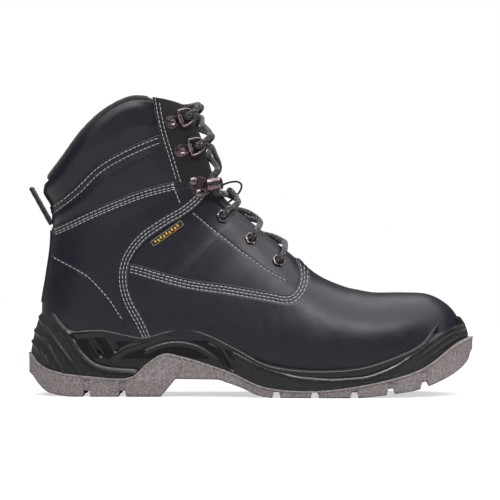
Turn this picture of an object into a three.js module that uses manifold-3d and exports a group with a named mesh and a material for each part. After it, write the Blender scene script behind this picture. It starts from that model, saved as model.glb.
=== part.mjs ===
// Steel toe work boot for a right foot, about EU 43, laced, standing on its sole.
// Millimetres, +Z up, the toe towards +X and the outer side of the foot towards -Y.
// The origin lies on the ground, at the middle of the boot's length and width.

import * as THREE from 'three';
import { mergeVertices } from 'three/addons/utils/BufferGeometryUtils.js';
import Module from 'manifold-3d';

const wasm = await Module();
wasm.setup();

// ---------------------------------------------------------------- driving dimensions

const SOLE_LENGTH = 306;        // heel to toe, over the outsole
const SOLE_WIDTH = 104;         // across the ball of the foot
const BOOT_HEIGHT = 205;        // ground to the highest point of the collar
const GAP = 0.3;                // clearance between neighbouring pieces

const LEATHER = 2.0;            // upper leather
const CAP_STEEL = 1.8;          // toe cap, heel counter and collar foam share this layer
const LINING = 1.2;             // mesh lining
const COLLAR_PAD = 5;           // extra thickness of the collar padding
const PLATE_STEEL = 0.8;        // anti-penetration plate
const BOARD = 2.0;              // insole board
const FOOTBED = 5.0;            // removable footbed

const LACE_DIAMETER = 3.8;
const EYELET_HOLE = 5.6;        // inner diameter of the three lower eyelets
const EYELET_HEX = 9.4;         // across the corners of their flange
const EYELET_FLANGE = 0.8;
const EYELET_WALL = 0.5;
const RING_REACH = 9.8;         // D-ring, middle of its bar to middle of its bow
const RING_SPAN = 13.2;         // D-ring, overall along its bar
const RING_WIRE = 1.9;          // wire diameter of a D-ring
const RIVET_HEAD = 6.4;
const RIVET_SHANK = 2.4;
const HARDWARE_SHEET = 0.8;     // steel sheet of clips and lace locks

const TAB_LENGTH = 28;          // pull tab
const TAB_WIDTH = 16;
const TAB_THICKNESS = 2.6;
const BINDING_DIAMETER = 5.2;   // topline binding
const LUG_DEPTH = 4;            // tread grooves
const LUG_GAP = 6.5;

// The shapes below are given for the design size and follow the driving dimensions.
const LONG = SOLE_LENGTH / 306;
const WIDE = SOLE_WIDTH / 104;
const HIGH = BOOT_HEIGHT / 205;

// Depths below the outer leather face.
const CAP_TOP = LEATHER + GAP;
const CAP_BOTTOM = CAP_TOP + CAP_STEEL;
const LINING_TOP = CAP_BOTTOM + GAP;
const LINING_BOTTOM = LINING_TOP + LINING;
const LACE_UNDER = LEATHER + 1.6 + LACE_DIAMETER / 2;      // lace centre below a facing
const TONGUE_TOP = LACE_UNDER + LACE_DIAMETER / 2 + 0.7;
const TONGUE_FACE = 1.2;
const TONGUE_FOAM = 4.4;

// ---------------------------------------------------------------- solids

const MERGE_DISTANCE = 1e-4;

function solidOf(geometry) {
  const bare = geometry.index ? geometry.clone() : geometry;
  bare.deleteAttribute('normal');
  bare.deleteAttribute('uv');
  const merged = mergeVertices(bare, MERGE_DISTANCE);
  const corner = merged.index.array;
  const triangles = [];
  for (let i = 0; i < corner.length; i += 3) {
    const [a, b, c] = [corner[i], corner[i + 1], corner[i + 2]];
    if (a !== b && b !== c && c !== a) {
      triangles.push(a, b, c);
    }
  }
  const vertices = Float32Array.from(merged.attributes.position.array);
  if (signedVolume(vertices, triangles) < 0) {
    triangles.reverse();
  }
  const mesh = new wasm.Mesh({
    numProp: 3,
    vertProperties: vertices,
    triVerts: Uint32Array.from(triangles),
  });
  return new wasm.Manifold(mesh);
}

function signedVolume(vertices, triangles) {
  const corners = [new THREE.Vector3(), new THREE.Vector3(), new THREE.Vector3()];
  let volume = 0;
  for (let i = 0; i < triangles.length; i += 3) {
    corners.forEach((corner, k) => corner.fromArray(vertices, 3 * triangles[i + k]));
    volume += corners[0].dot(corners[1].clone().cross(corners[2])) / 6;
  }
  return volume;
}

function geometryOf(solid) {
  const mesh = solid.getMesh();
  const geometry = new THREE.BufferGeometry();
  geometry.setAttribute('position', new THREE.BufferAttribute(Float32Array.from(mesh.vertProperties), 3));
  geometry.setIndex(Array.from(mesh.triVerts));
  return geometry;
}

// Closed solid through a row of closed rings that all have the same number of points.
function loft(rings) {
  const count = rings[0].length;
  const positions = [];
  const index = [];
  rings.forEach((ring) => ring.forEach((point) => positions.push(point.x, point.y, point.z)));
  for (let i = 0; i + 1 < rings.length; i += 1) {
    for (let j = 0; j < count; j += 1) {
      const a = i * count + j;
      const b = i * count + (j + 1) % count;
      index.push(a, b, a + count, b, b + count, a + count);
    }
  }
  [0, rings.length - 1].forEach((row) => {
    const centre = positions.length / 3;
    const middle = new THREE.Vector3();
    rings[row].forEach((point) => middle.addScaledVector(point, 1 / count));
    positions.push(middle.x, middle.y, middle.z);
    for (let j = 0; j < count; j += 1) {
      const a = row * count + j;
      const b = row * count + (j + 1) % count;
      index.push(...(row === 0 ? [b, a, centre] : [a, b, centre]));
    }
  });
  const geometry = new THREE.BufferGeometry();
  geometry.setAttribute('position', new THREE.Float32BufferAttribute(positions, 3));
  geometry.setIndex(index);
  return solidOf(geometry);
}

function curveThrough(points, steps) {
  const curve = new THREE.CatmullRomCurve3(points.map(([x, z]) => new THREE.Vector3(x, 0, z)));
  return curve.getPoints(steps).map((point) => [point.x, point.z]);
}

// Moves an open or closed polyline sideways, to the right of its direction for a positive distance.
function shifted(points, distance, closed = false) {
  const last = points.length - 1;
  return points.map(([x, z], i) => {
    const before = points[closed ? (i + last) % (last + 1) : Math.max(0, i - 1)];
    const after = points[closed ? (i + 1) % (last + 1) : Math.min(last, i + 1)];
    const dx = after[0] - before[0];
    const dz = after[1] - before[1];
    const length = Math.hypot(dx, dz);
    return [x + dz / length * distance, z - dx / length * distance];
  });
}

const REACH = 140;              // half the depth of a cutting prism, wider than the boot

// Prism across the boot from a closed side-view outline.
function sidePrism(outline, y0 = -REACH, y1 = REACH) {
  const shape = new THREE.Shape(outline.map(([x, z]) => new THREE.Vector2(x, z)));
  const geometry = new THREE.ExtrudeGeometry(shape, { depth: y1 - y0, bevelEnabled: false });
  geometry.rotateX(Math.PI / 2).translate(0, y1, 0);
  return solidOf(geometry);
}

// Upright prism from a closed plan outline.
function planPrism(outline, z0, z1) {
  const shape = new THREE.Shape(outline.map(([x, y]) => new THREE.Vector2(x, y)));
  const geometry = new THREE.ExtrudeGeometry(shape, { depth: z1 - z0, bevelEnabled: false });
  geometry.translate(0, 0, z0);
  return solidOf(geometry);
}

function lathe(profile, segments) {
  const points = profile.map(([radius, height]) => new THREE.Vector2(radius, height));
  return new THREE.LatheGeometry(points, segments).rotateX(Math.PI / 2);
}

function placed(geometry, matrix) {
  return solidOf(geometry.clone().applyMatrix4(matrix));
}

// ---------------------------------------------------------------- form of the upper
//
// Sections fan out from the toe tip to the collar. Each runs from the ridge, over the
// instep and up the front of the shaft, to the keel, along the feather edge under the
// foot and up the back seam. From ridge to keel a section first widens to its half
// width at the share 'low' of its height, then closes to its half width at the keel.

const SEAM_HALF_GAP = GAP / 2;
const SECTIONS = [
  // ridge          keel          outer half   inner half   low   closing power
  [[144.6, 34.0], [144.6, 34.0], [0, 0], [0, 0], 0.60, 1.0],
  [[143.8, 44.0], [143.2, 25.0], [10.5, 9.5], [11, 10], 0.60, 1.0],
  [[140.8, 53.5], [138.6, 22.0], [17.5, 16.5], [18.5, 17.5], 0.62, 1.0],
  [[134.0, 61.5], [131.0, 20.0], [26, 24.5], [28, 26.5], 0.64, 1.0],
  [[122.0, 67.8], [118.0, 17.5], [34.5, 33], [38, 36.5], 0.66, 1.0],
  [[104.0, 69.0], [100.0, 15.5], [42, 40.5], [44.5, 43], 0.68, 1.0],
  [[82.0, 69.3], [78.0, 14.5], [47, 45.5], [48, 46.5], 0.70, 1.0],
  [[60.0, 75.0], [54.0, 14.5], [48, 46.5], [46, 44.5], 0.72, 1.0],
  [[43.0, 83.5], [28.0, 15.5], [45.5, 43.5], [41, 38.5], 0.73, 1.0],
  [[29.0, 97.5], [0.0, 20.0], [42, 38], [37, 32], 0.74, 1.05],
  [[16.0, 109.0], [-30.0, 26.0], [38, 33], [34.5, 28], 0.74, 1.1],
  [[4.0, 120.0], [-65.0, 29.0], [35, 30.5], [33, 27], 0.74, 1.2],
  [[-3.5, 128.0], [-100.0, 30.0], [34, 29.5], [32.5, 27.5], 0.75, 1.4],
  [[-8.5, 134.0], [-128.0, 31.0], [33.5, 20.5], [32.5, 19.5], 0.76, 1.8],
  [[-12.5, 139.5], [-140.8, 38.0], [33.5, SEAM_HALF_GAP], [32.5, SEAM_HALF_GAP], 0.75, 2.1],
  [[-17.0, 147.5], [-142.6, 60.0], [33.5, SEAM_HALF_GAP], [32.5, SEAM_HALF_GAP], 0.72, 2.1],
  [[-21.5, 158.0], [-139.4, 82.0], [33.5, SEAM_HALF_GAP], [33, SEAM_HALF_GAP], 0.68, 2.1],
  [[-25.5, 169.5], [-136.4, 104.0], [35, SEAM_HALF_GAP], [34.5, SEAM_HALF_GAP], 0.64, 2.1],
  [[-30.0, 181.0], [-136.6, 122.0], [37, SEAM_HALF_GAP], [36.5, SEAM_HALF_GAP], 0.62, 2.1],
  [[-36.5, 193.0], [-141.6, 140.0], [39.5, SEAM_HALF_GAP], [39, SEAM_HALF_GAP], 0.60, 2.1],
  [[-44.0, 206.0], [-143.0, 158.0], [41, SEAM_HALF_GAP], [40.5, SEAM_HALF_GAP], 0.60, 2.1],
  [[-52.0, 222.0], [-143.0, 180.0], [42, SEAM_HALF_GAP], [41.5, SEAM_HALF_GAP], 0.60, 2.1],
];
const LAST_SECTION = SECTIONS.length - 1;
const TOE_POWER = 2.2;          // fullness of a section over the ridge, at the toe
const SHAFT_POWER = 3.1;        // the same in the shaft, whose front is broad and flat

const ridgeCurve = stationCurve(([ridge]) => [ridge[0] * LONG, 0, ridge[1] * HIGH]);
const keelCurve = stationCurve(([, keel]) => [keel[0] * LONG, 0, keel[1] * HIGH]);
const outerHalf = stationCurve(([, , half, , low, power]) => [...halves(half), low + power]);
const innerHalf = stationCurve(([, , , half, low, power]) => [...halves(half), low + power]);
const closingCurve = stationCurve(([, , , , low, power]) => [low, power, 0]);

function stationCurve(read) {
  const points = SECTIONS.map((section) => new THREE.Vector3(...read(section)));
  return new THREE.CatmullRomCurve3(points, false, 'centripetal');
}

function halves([widest, seam]) {
  return [widest * WIDE, seam > SEAM_HALF_GAP ? seam * WIDE : seam];
}

const section = (number) => number / LAST_SECTION;

function ridgePower(u) {
  return THREE.MathUtils.lerp(TOE_POWER, SHAFT_POWER, THREE.MathUtils.smoothstep(u, section(6), section(15)));
}

// Point of the outer leather face. 'round' runs from -1 (keel) by 0 (ridge) to 1 (keel),
// negative on the outer side of the foot; past 1 it goes on round the back.
function skin(u, round) {
  const share = round > 1 ? round - 2 : round;
  const ridge = ridgeCurve.getPoint(u);
  const keel = keelCurve.getPoint(u);
  const half = (share < 0 ? outerHalf : innerHalf).getPoint(u);
  const closing = closingCurve.getPoint(u);
  const across = keel.clone().sub(ridge);
  const height = across.length();
  const low = closing.x * height;
  const angle = Math.abs(share) * Math.PI;
  let down;
  let out;
  if (angle <= Math.PI / 2) {
    down = low * (1 - Math.cos(angle) ** (2 / ridgePower(u)));
    out = half.x * Math.sin(angle) ** (2 / ridgePower(u));
  } else {
    const turn = Math.min(angle, Math.PI) - Math.PI / 2;
    down = low + (height - low) * Math.sin(turn);
    out = half.y + (half.x - half.y) * Math.max(0, Math.cos(turn)) ** (2 / closing.y);
  }
  const point = height > 0 ? ridge.addScaledVector(across, down / height) : ridge;
  point.y = (share < 0 ? -out : out) * (round === 1 && half.y <= GAP ? Math.sign(round) : 1);
  return point;
}

const STEP = 1e-3;
const TOE_NORMAL = new THREE.Vector3(1, 0, 0);

function outward(u, round) {
  if (u < STEP) {
    return TOE_NORMAL.clone();
  }
  const edge = Math.abs(Math.abs(round) - 1) < STEP;
  const inset = edge ? Math.sign(round) * (Math.sign(round) * round > 1 ? 1 : -1) * STEP : 0;
  const middle = round + inset;
  const along = skin(Math.min(1, u + STEP), middle).sub(skin(Math.max(0, u - STEP), middle));
  const round0 = Math.abs(middle) < STEP ? middle - STEP : middle - STEP / 2;
  const round1 = Math.abs(middle) < STEP ? middle + STEP : middle + STEP / 2;
  const about = skin(u, round1).sub(skin(u, round0));
  const normal = about.cross(along).normalize();
  if (edge && keelHalf(u, round) <= GAP) {
    normal.y = 0;
    normal.normalize();
  }
  return normal;
}

function keelHalf(u, round) {
  return (round < 0 ? outerHalf : innerHalf).getPoint(u).y;
}

function layerPoint(u, round, depth) {
  return skin(u, round).addScaledVector(outward(u, round), -depth);
}

// Share of the way round at which a section is 'half' wide.
function roundAt(u, half) {
  const widest = outerHalf.getPoint(u).x;
  return Math.asin(Math.min(1, half / widest) ** (ridgePower(u) / 2)) / Math.PI;
}

// Closed sheet between two depths. Limits and depths may be numbers or functions.
function sheet({ u0, u1, round0, round1, top, bottom, rows, columns }) {
  const value = (item, ...args) => (typeof item === 'function' ? item(...args) : item);
  const rings = [];
  for (let i = 0; i <= rows; i += 1) {
    const u = u0 + (u1 - u0) * i / rows;
    const from = value(round0, u);
    const to = value(round1, u);
    const outer = [];
    const inner = [];
    for (let j = 0; j <= columns; j += 1) {
      const round = from + (to - from) * j / columns;
      outer.push(layerPoint(u, round, value(top, u, round)));
      inner.unshift(layerPoint(u, round, value(bottom, u, round)));
    }
    rings.push([...outer, ...inner]);
  }
  return stripLoft(rings);
}

// Loft of flat rings, each made of an outer run and the inner run on its way back. Both runs
// are split along the same diagonals, so that stacked sheets stay apart.
function stripLoft(rings) {
  const count = rings[0].length;
  const positions = [];
  const index = [];
  rings.forEach((ring) => ring.forEach((point) => positions.push(point.x, point.y, point.z)));
  for (let i = 0; i + 1 < rings.length; i += 1) {
    for (let j = 0; j < count; j += 1) {
      const a = i * count + j;
      const b = i * count + (j + 1) % count;
      const returning = j >= count / 2;
      index.push(...(returning
        ? [a, b, b + count, a, b + count, a + count]
        : [a, b, a + count, b, b + count, a + count]));
    }
  }
  [0, rings.length - 1].forEach((row) => {
    for (let j = 0; j + 1 < count / 2; j += 1) {
      const a = row * count + j;
      const b = a + 1;
      const c = row * count + count - 1 - j;
      const d = c - 1;
      const quad = [a, c, b, b, c, d];
      index.push(...(row === 0 ? quad : quad.reverse()));
    }
  });
  const geometry = new THREE.BufferGeometry();
  geometry.setAttribute('position', new THREE.Float32BufferAttribute(positions, 3));
  geometry.setIndex(index);
  return solidOf(geometry);
}

// ---------------------------------------------------------------- side-view lines

const line = (points, steps) => curveThrough(points.map(([x, z]) => [x * LONG, z * HIGH]), steps);

const COLLAR_LINE = line([[-165, 132], [-140, 151], [-128, 164.5], [-114.5, 182], [-97, 197.5],
  [-80, 205], [-64, 204], [-47.5, 199.6], [-34, 192], [-10, 178]], 24);
const COLLAR_SEAM = line([[-165, 112], [-136, 131], [-121, 142], [-104, 158], [-85, 169], [-61, 179], [-30, 188]], 16);
const ANKLE_SEAM = line([[-165, 106], [-133, 116.5], [-103, 130], [-75, 141], [-52, 147], [-26, 151.5], [10, 153]], 16);
const FACING_SEAM = line([[-69, 225], [-66, 203], [-62, 182], [-57, 165], [-51, 145], [-46, 130]], 10);
const QUARTER_SEAM = line([[-22, 175], [-26.5, 152], [-30, 137], [-40.5, 126], [-57.5, 115.5], [-72, 105],
  [-81, 92], [-83, 80], [-80, 67], [-71.5, 51.5], [-62, 30], [-54, 0]], 26);
const VAMP_SEAM = line([[-100, 93], [-80.5, 91], [-62.5, 86], [-41.5, 80.5], [-13, 76.5], [14.5, 72], [27, 70.5],
  [32, 76], [33.3, 85], [30.6, 94.5], [26, 108]], 26);
const MIDSOLE_TOP = line([[-165, 70], [-143, 60], [-133, 52], [-122, 45.5], [-112, 46], [-100, 46.5], [-85, 43.5],
  [-73, 41.6], [-60, 45], [-46, 48], [-31, 44.5], [-7, 33], [10, 24], [32, 20], [60, 19.8], [78, 22], [101, 29.5],
  [118, 37.5], [130, 48.5], [141, 53], [160, 54]], 25);
const OUTSOLE_TOP = line([[-165, 34], [-152.5, 29], [-144, 21.5], [-133, 17.3], [-110, 14.2], [-81.5, 13.6],
  [-70.5, 22.5], [-59, 29.5], [-45.5, 27.5], [-12.5, 17], [9.5, 7.5], [44, 5], [78, 9], [112, 17.5], [124, 23.5],
  [141, 35.5], [152, 40], [165, 42]], 24);
const OUTSOLE_CORE = line([[-165, 12], [-76, 12], [-50, 17], [-24, 16.5], [5, 6], [44, 4.6], [78, 6.5], [112, 11],
  [139, 22], [165, 38]], 20);
const TREAD = line([[-175, 22], [-151, 14], [-146, 8], [-141, 3.6], [-134, 1.4], [-124, 0]], 10).concat(
  line([[-61, 0], [-50.6, 12.2]], 1),
  line([[-21.4, 12], [-6, 6.6], [5, 1.6], [14, 0]], 5),
  line([[74, 0], [99, 2.6], [118, 6], [139, 15], [149, 23], [153, 31], [175, 39]], 8),
);

// Prisms on one side of a line: the line, moved sideways by 'shift', and two far corners.
const FAR = 400;
const above = (seam, shift) => sidePrism([...shifted(seam, -shift), [FAR, FAR], [-FAR, FAR]]);
const below = (seam, shift) => sidePrism([...shifted(seam, shift), [FAR, FAR], [FAR, -FAR], [-FAR, -FAR]]);
const behind = (seam, shift) => sidePrism([...shifted(seam, shift), [-FAR, -FAR], [-FAR, FAR]]);
const ahead = (seam, shift) => sidePrism([...shifted(seam, -shift), [FAR, -FAR], [FAR, FAR]]);
const HALF_GAP = GAP / 2;
const outerSide = sidePrism([[-FAR, -FAR], [FAR, -FAR], [FAR, FAR], [-FAR, FAR]], -REACH, -HALF_GAP);
const innerSide = sidePrism([[-FAR, -FAR], [FAR, -FAR], [FAR, FAR], [-FAR, FAR]], HALF_GAP, REACH);

// ---------------------------------------------------------------- lacing points

const SIDES = [{ name: 'outer', sign: -1 }, { name: 'inner', sign: 1 }];
const EYELETS = [[19.3, 92.5], [0.7, 107.6], [-18.7, 122.8]];
const LOCK = [-36.5, 143];
const RINGS = [[-47.5, 168], [-54, 187]];

// Section and share of the way round of the outer-side point seen at (x, z) from the side.
function locate([x, z]) {
  const target = [x * LONG, z * HIGH];
  const miss = (u, round) => {
    const point = skin(u, round);
    return Math.hypot(point.x - target[0], point.z - target[1]);
  };
  let best = { u: 0.5, round: -0.3 };
  let reach = 0.25;
  for (let pass = 0; pass < 12; pass += 1) {
    const { u, round } = best;
    for (let i = -4; i <= 4; i += 1) {
      for (let j = -4; j <= 4; j += 1) {
        const nextU = THREE.MathUtils.clamp(u + reach * i / 4, 0.02, 0.99);
        const nextRound = THREE.MathUtils.clamp(round + reach * j / 4, -0.98, -0.02);
        if (miss(nextU, nextRound) < miss(best.u, best.round)) {
          best = { u: nextU, round: nextRound };
        }
      }
    }
    reach *= 0.55;
  }
  return best;
}

// Local frame on the leather: 'in' points to the throat along the face, 'up' along the
// facing, 'out' away from the leather. The matrix takes (in, across, out) to the boot.
function mountFrame(place, sign) {
  const { u, round } = locate(place);
  const signedRound = sign * Math.abs(round);
  const origin = skin(u, signedRound);
  const out = outward(u, signedRound);
  const rise = skin(u + STEP, signedRound).sub(skin(u - STEP, signedRound));
  const up = rise.addScaledVector(out, -rise.dot(out)).normalize();
  const towards = skin(u, signedRound - sign * STEP).sub(origin);
  towards.addScaledVector(out, -towards.dot(out)).addScaledVector(up, -towards.dot(up)).normalize();
  const across = out.clone().cross(towards);
  const matrix = new THREE.Matrix4().makeBasis(towards, across, out).setPosition(origin);
  const point = (a, b, n) => origin.clone()
    .addScaledVector(towards, a)
    .addScaledVector(up, b)
    .addScaledVector(out, n);
  return { u, round: signedRound, matrix, point, origin, out, up, towards, lift: Math.sign(across.dot(up)) };
}

const eyeletFrames = EYELETS.map((place) => SIDES.map(({ sign }) => mountFrame(place, sign)));
const lockFrames = SIDES.map(({ sign }) => mountFrame(LOCK, sign));
const ringFrames = RINGS.map((place) => SIDES.map(({ sign }) => mountFrame(place, sign)));

const LOCK_RIVETS = [[-2, 4.4], [0.6, -4.4]];
const PLATE_LIFT = 0.7;         // clip and lock plates above the curved leather
const RING_AXIS = 6.4;          // D-ring hinge, ahead of its rivet
const RING_LIFT = 3.4;          // D-ring plane above the leather
const BOW = RING_AXIS + RING_REACH;
const TUNNEL = [5.5, 13.9];     // the two legs of a lace lock, ahead of the lock's middle
const TUNNEL_HEIGHT = LACE_DIAMETER + 1.2;

const HOLE_TURN = Math.PI / 8;

function drill(matrix, radius, a = 0, b = 0) {
  const hole = new THREE.CylinderGeometry(radius, radius, 14, 8, 1, false, HOLE_TURN).rotateX(Math.PI / 2).translate(a, b, 0);
  return placed(hole, matrix);
}

function drills() {
  const eyelets = eyeletFrames.flat().map(({ matrix }) => drill(matrix, EYELET_HOLE / 2 + EYELET_WALL + GAP));
  const ringRivets = ringFrames.flat().map(({ matrix }) => drill(matrix, RIVET_SHANK / 2 + GAP));
  const lockRivets = lockFrames.flatMap(({ matrix, lift }) => LOCK_RIVETS.map(
    ([a, b]) => drill(matrix, RIVET_SHANK / 2 + GAP, a, b * lift)));
  return [...eyelets, ...ringRivets, ...lockRivets];
}

// ---------------------------------------------------------------- upper

const THROAT_START = section(8.75);
const THROAT_BASE_HALF = 11;
const THROAT_TOP_HALF = 27;
const LINING_SETBACK = [19, 9]; // lining stops this far behind the facing's edge, base and top

function throatHalf(u) {
  const share = (u - THROAT_START) / (1 - THROAT_START);
  return (THROAT_BASE_HALF + (THROAT_TOP_HALF - THROAT_BASE_HALF) * share) * WIDE;
}

function throatCutter(start, [base, top]) {
  const limit = (u) => roundAt(u, throatHalf(u) + THREE.MathUtils.mapLinear(u, start, 1, base, top));
  return sheet({
    u0: start,
    u1: 1,
    round0: (u) => -limit(u),
    round1: limit,
    top: -6,
    bottom: LINING_BOTTOM + COLLAR_PAD + 1,
    rows: 12,
    columns: 4,
  });
}

const GRID = { u0: 0, u1: 1, rows: 21, columns: 20 };

const RIM_DROP = BINDING_DIAMETER + 2 * GAP;

function cutAll(solid, cutters) {
  return cutters.reduce((rest, cutter) => rest.subtract(cutter), solid);
}

function leatherPanels() {
  const whole = sheet({ ...GRID, round0: -1, round1: 1, top: 0, bottom: LEATHER });
  const shell = cutAll(whole, [throatCutter(THROAT_START, [0, 0]), ...drills()]);
  const top = shell.intersect(above(ANKLE_SEAM, HALF_GAP));
  const collarTop = below(COLLAR_LINE, RIM_DROP);
  const band = top.intersect(behind(FACING_SEAM, HALF_GAP)).intersect(collarTop);
  const low = shell.intersect(below(ANKLE_SEAM, HALF_GAP));
  const front = low.intersect(ahead(QUARTER_SEAM, HALF_GAP));
  const paired = {
    collar_panel: band.intersect(above(COLLAR_SEAM, HALF_GAP)),
    ankle_panel: band.intersect(below(COLLAR_SEAM, HALF_GAP)),
    facing: top.intersect(ahead(FACING_SEAM, HALF_GAP)).intersect(below(COLLAR_LINE, 0)),
    rear_quarter: low.intersect(behind(QUARTER_SEAM, HALF_GAP)),
    front_quarter: front.intersect(above(VAMP_SEAM, HALF_GAP)),
  };
  return { vamp: front.intersect(below(VAMP_SEAM, HALF_GAP)), paired };
}

// The collar padding swells behind the facings, above the ankle.
function padding(u, round) {
  const back = THREE.MathUtils.smoothstep(Math.abs(round), 0.3, 0.5);
  const high = THREE.MathUtils.smoothstep(u, section(17), section(18.5));
  return COLLAR_PAD * back * high;
}

const LINING_SPLIT = line([[20, 190], [-20, 60], [-45, -20]], 6);

function linings() {
  const whole = sheet({
    ...GRID,
    round0: -1,
    round1: 1,
    top: (u, round) => LINING_TOP + padding(u, round),
    bottom: (u, round) => LINING_BOTTOM + padding(u, round),
  });
  const rim = below(COLLAR_LINE, RIM_DROP);
  const open = whole.subtract(throatCutter(THROAT_START - section(1), LINING_SETBACK)).intersect(rim);
  const quarters = open.intersect(behind(LINING_SPLIT, HALF_GAP));
  return {
    vamp_lining: open.intersect(ahead(LINING_SPLIT, HALF_GAP)),
    quarter_lining_outer: quarters.intersect(outerSide),
    quarter_lining_inner: quarters.intersect(innerSide),
  };
}

function collarFoam() {
  const foam = sheet({
    u0: section(17),
    u1: 1,
    round0: 0.4,
    round1: 1.6,
    top: CAP_TOP,
    bottom: (u, round) => CAP_BOTTOM + padding(u, round > 1 ? round - 2 : round),
    rows: 4,
    columns: 12,
  });
  return foam.intersect(below(COLLAR_LINE, RIM_DROP));
}

function toeCap() {
  return sheet({
    u0: 0, u1: section(6), round0: -1, round1: 1, top: CAP_TOP, bottom: CAP_BOTTOM, rows: 6, columns: 20,
  });
}

function capEdgePad() {
  return sheet({
    u0: section(6.05), u1: section(6.95), round0: -0.9, round1: 0.9, top: CAP_TOP, bottom: CAP_BOTTOM, rows: 1, columns: 18,
  });
}

function heelCounter() {
  const wing = (sign) => sheet({
    u0: section(11),
    u1: section(16),
    round0: sign < 0 ? -1 : 0.6,
    round1: sign < 0 ? -0.6 : 1,
    top: CAP_TOP,
    bottom: CAP_BOTTOM,
    rows: 5,
    columns: 4,
  });
  const bridge = sheet({
    u0: section(14),
    u1: section(16),
    round0: 0.9,
    round1: 1.1,
    top: CAP_TOP,
    bottom: CAP_BOTTOM,
    rows: 2,
    columns: 2,
  });
  return wing(-1).add(wing(1)).add(bridge);
}

function backstay() {
  return sheet({
    u0: section(15.15), u1: section(17.5), round0: 0.96, round1: 1.04, top: -1.8, bottom: -0.8, rows: 4, columns: 2,
  });
}

// Collar edge: the place on each section where the side view meets the lowered collar line.
function toplineBinding() {
  const rim = shifted(COLLAR_LINE, BINDING_DIAMETER / 2);
  const heightAt = (x) => {
    const i = Math.max(1, rim.findIndex(([rimX]) => rimX > x));
    const share = (x - rim[i - 1][0]) / (rim[i][0] - rim[i - 1][0]);
    return rim[i - 1][1] + share * (rim[i][1] - rim[i - 1][1]);
  };
  const depth = LINING_BOTTOM / 2 + COLLAR_PAD / 2;
  const edgePoint = (round) => {
    let low = section(16);
    let high = 1;
    for (let pass = 0; pass < 24; pass += 1) {
      const middle = (low + high) / 2;
      const point = layerPoint(middle, round, depth);
      if (point.z < heightAt(point.x)) {
        low = middle;
      } else {
        high = middle;
      }
    }
    return layerPoint(low, round, depth);
  };
  const START = 0.32;
  const STOPS = 9;
  const half = (sign) => Array.from({ length: STOPS }, (_, i) => edgePoint(sign * (START + (0.97 - START) * i / (STOPS - 1))));
  const path = new THREE.CatmullRomCurve3([...half(-1), ...half(1).reverse()]);
  return tube(path, BINDING_DIAMETER, 8, 26);
}

function tube(path, diameter, sides, steps) {
  const corners = Array.from({ length: sides }, (_, i) => {
    const angle = 2 * Math.PI * i / sides;
    return new THREE.Vector2(Math.cos(angle), Math.sin(angle)).multiplyScalar(diameter / 2);
  });
  return new THREE.ExtrudeGeometry(new THREE.Shape(corners), { steps, extrudePath: path });
}

// ---------------------------------------------------------------- tongue

const TONGUE_START = section(8.1);
const TONGUE_END = section(19.15);
const TONGUE_MARGIN = 9;        // how far the tongue reaches under each facing

function tongueLayer(top, thickness) {
  const limit = (u) => roundAt(u, throatHalf(u) + TONGUE_MARGIN);
  return sheet({
    u0: TONGUE_START,
    u1: TONGUE_END,
    round0: (u) => -limit(u),
    round1: limit,
    top,
    bottom: top + thickness,
    rows: 9,
    columns: 4,
  });
}

function gusset(sign) {
  const from = (u) => roundAt(u, throatHalf(u) + 13);
  const to = (u) => roundAt(u, throatHalf(u) + 19);
  return sheet({
    u0: section(10),
    u1: section(16),
    round0: (u) => sign * from(u),
    round1: (u) => sign * to(u),
    top: LINING_BOTTOM + 1.6,
    bottom: LINING_BOTTOM + 2.4,
    rows: 6,
    columns: 1,
  });
}

function laceKeeper() {
  const place = crossingPlace(2);
  const out = outward(place, 0);
  const along = new THREE.Vector3(0, 1, 0).cross(out);
  const origin = layerPoint(place, 0, TONGUE_TOP - 2 * GAP);
  const matrix = new THREE.Matrix4().makeBasis(along, new THREE.Vector3(0, -1, 0), out).setPosition(origin);
  const HALF_SPAN = 7;
  const RISE = 16;
  const BAND = 1.4;
  const WIDTH = 5;
  const outline = new THREE.Shape();
  outline.absellipse(0, 0, HALF_SPAN, RISE, 0, Math.PI, false, 0);
  outline.lineTo(-HALF_SPAN + BAND, 0);
  outline.absellipse(0, 0, HALF_SPAN - BAND, RISE - BAND, Math.PI, 0, true, 0);
  outline.closePath();
  const band = new THREE.ExtrudeGeometry(outline, { depth: WIDTH, bevelEnabled: false, curveSegments: 8 });
  band.translate(0, 0, -WIDTH / 2).rotateX(Math.PI / 2).translate(0, 0, 0.1);
  return placed(band, matrix);
}

// ---------------------------------------------------------------- sole

const OUTER_EDGE = [[-150, 14], [-140, 27], [-120, 35], [-90, 36], [-50, 37], [-10, 42], [30, 50], [60, 52],
  [90, 49], [120, 39], [140, 23.5], [149.5, 11]];
const INNER_EDGE = [[149.5, 14], [141, 26], [123, 41], [100, 49], [75, 52], [60, 50], [30, 43], [-10, 34],
  [-50, 32], [-90, 34], [-120, 34], [-140, 27], [-150, 14]];

function soleOutline() {
  const points = [
    ...OUTER_EDGE.map(([x, y]) => [x * LONG, -y * WIDE]),
    [153 * LONG, 2 * WIDE],
    ...INNER_EDGE.map(([x, y]) => [x * LONG, y * WIDE]),
    [-153 * LONG, 0],
  ];
  const curve = new THREE.CatmullRomCurve3(points.map(([x, y]) => new THREE.Vector3(x, y, 0)), true);
  return curve.getPoints(44).slice(0, -1).map((point) => [point.x, point.y]);
}

// Plan outline drawn in by about 'distance' all round: lengthways from its tips, and
// sideways by the half width of the heel or of the ball.
function planInset(points, distance) {
  const tip = Math.max(...points.map(([x]) => Math.abs(x)));
  const ball = Math.max(...points.map(([, y]) => Math.abs(y)));
  const heel = Math.max(...points.filter(([x]) => x < -0.4 * tip).map(([, y]) => Math.abs(y)));
  return points.map(([x, y]) => {
    const half = THREE.MathUtils.lerp(heel, ball, THREE.MathUtils.smoothstep(x, -0.3 * tip, 0.4 * tip));
    return [x * (1 - distance / tip), y * (1 - distance / half)];
  });
}

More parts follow.
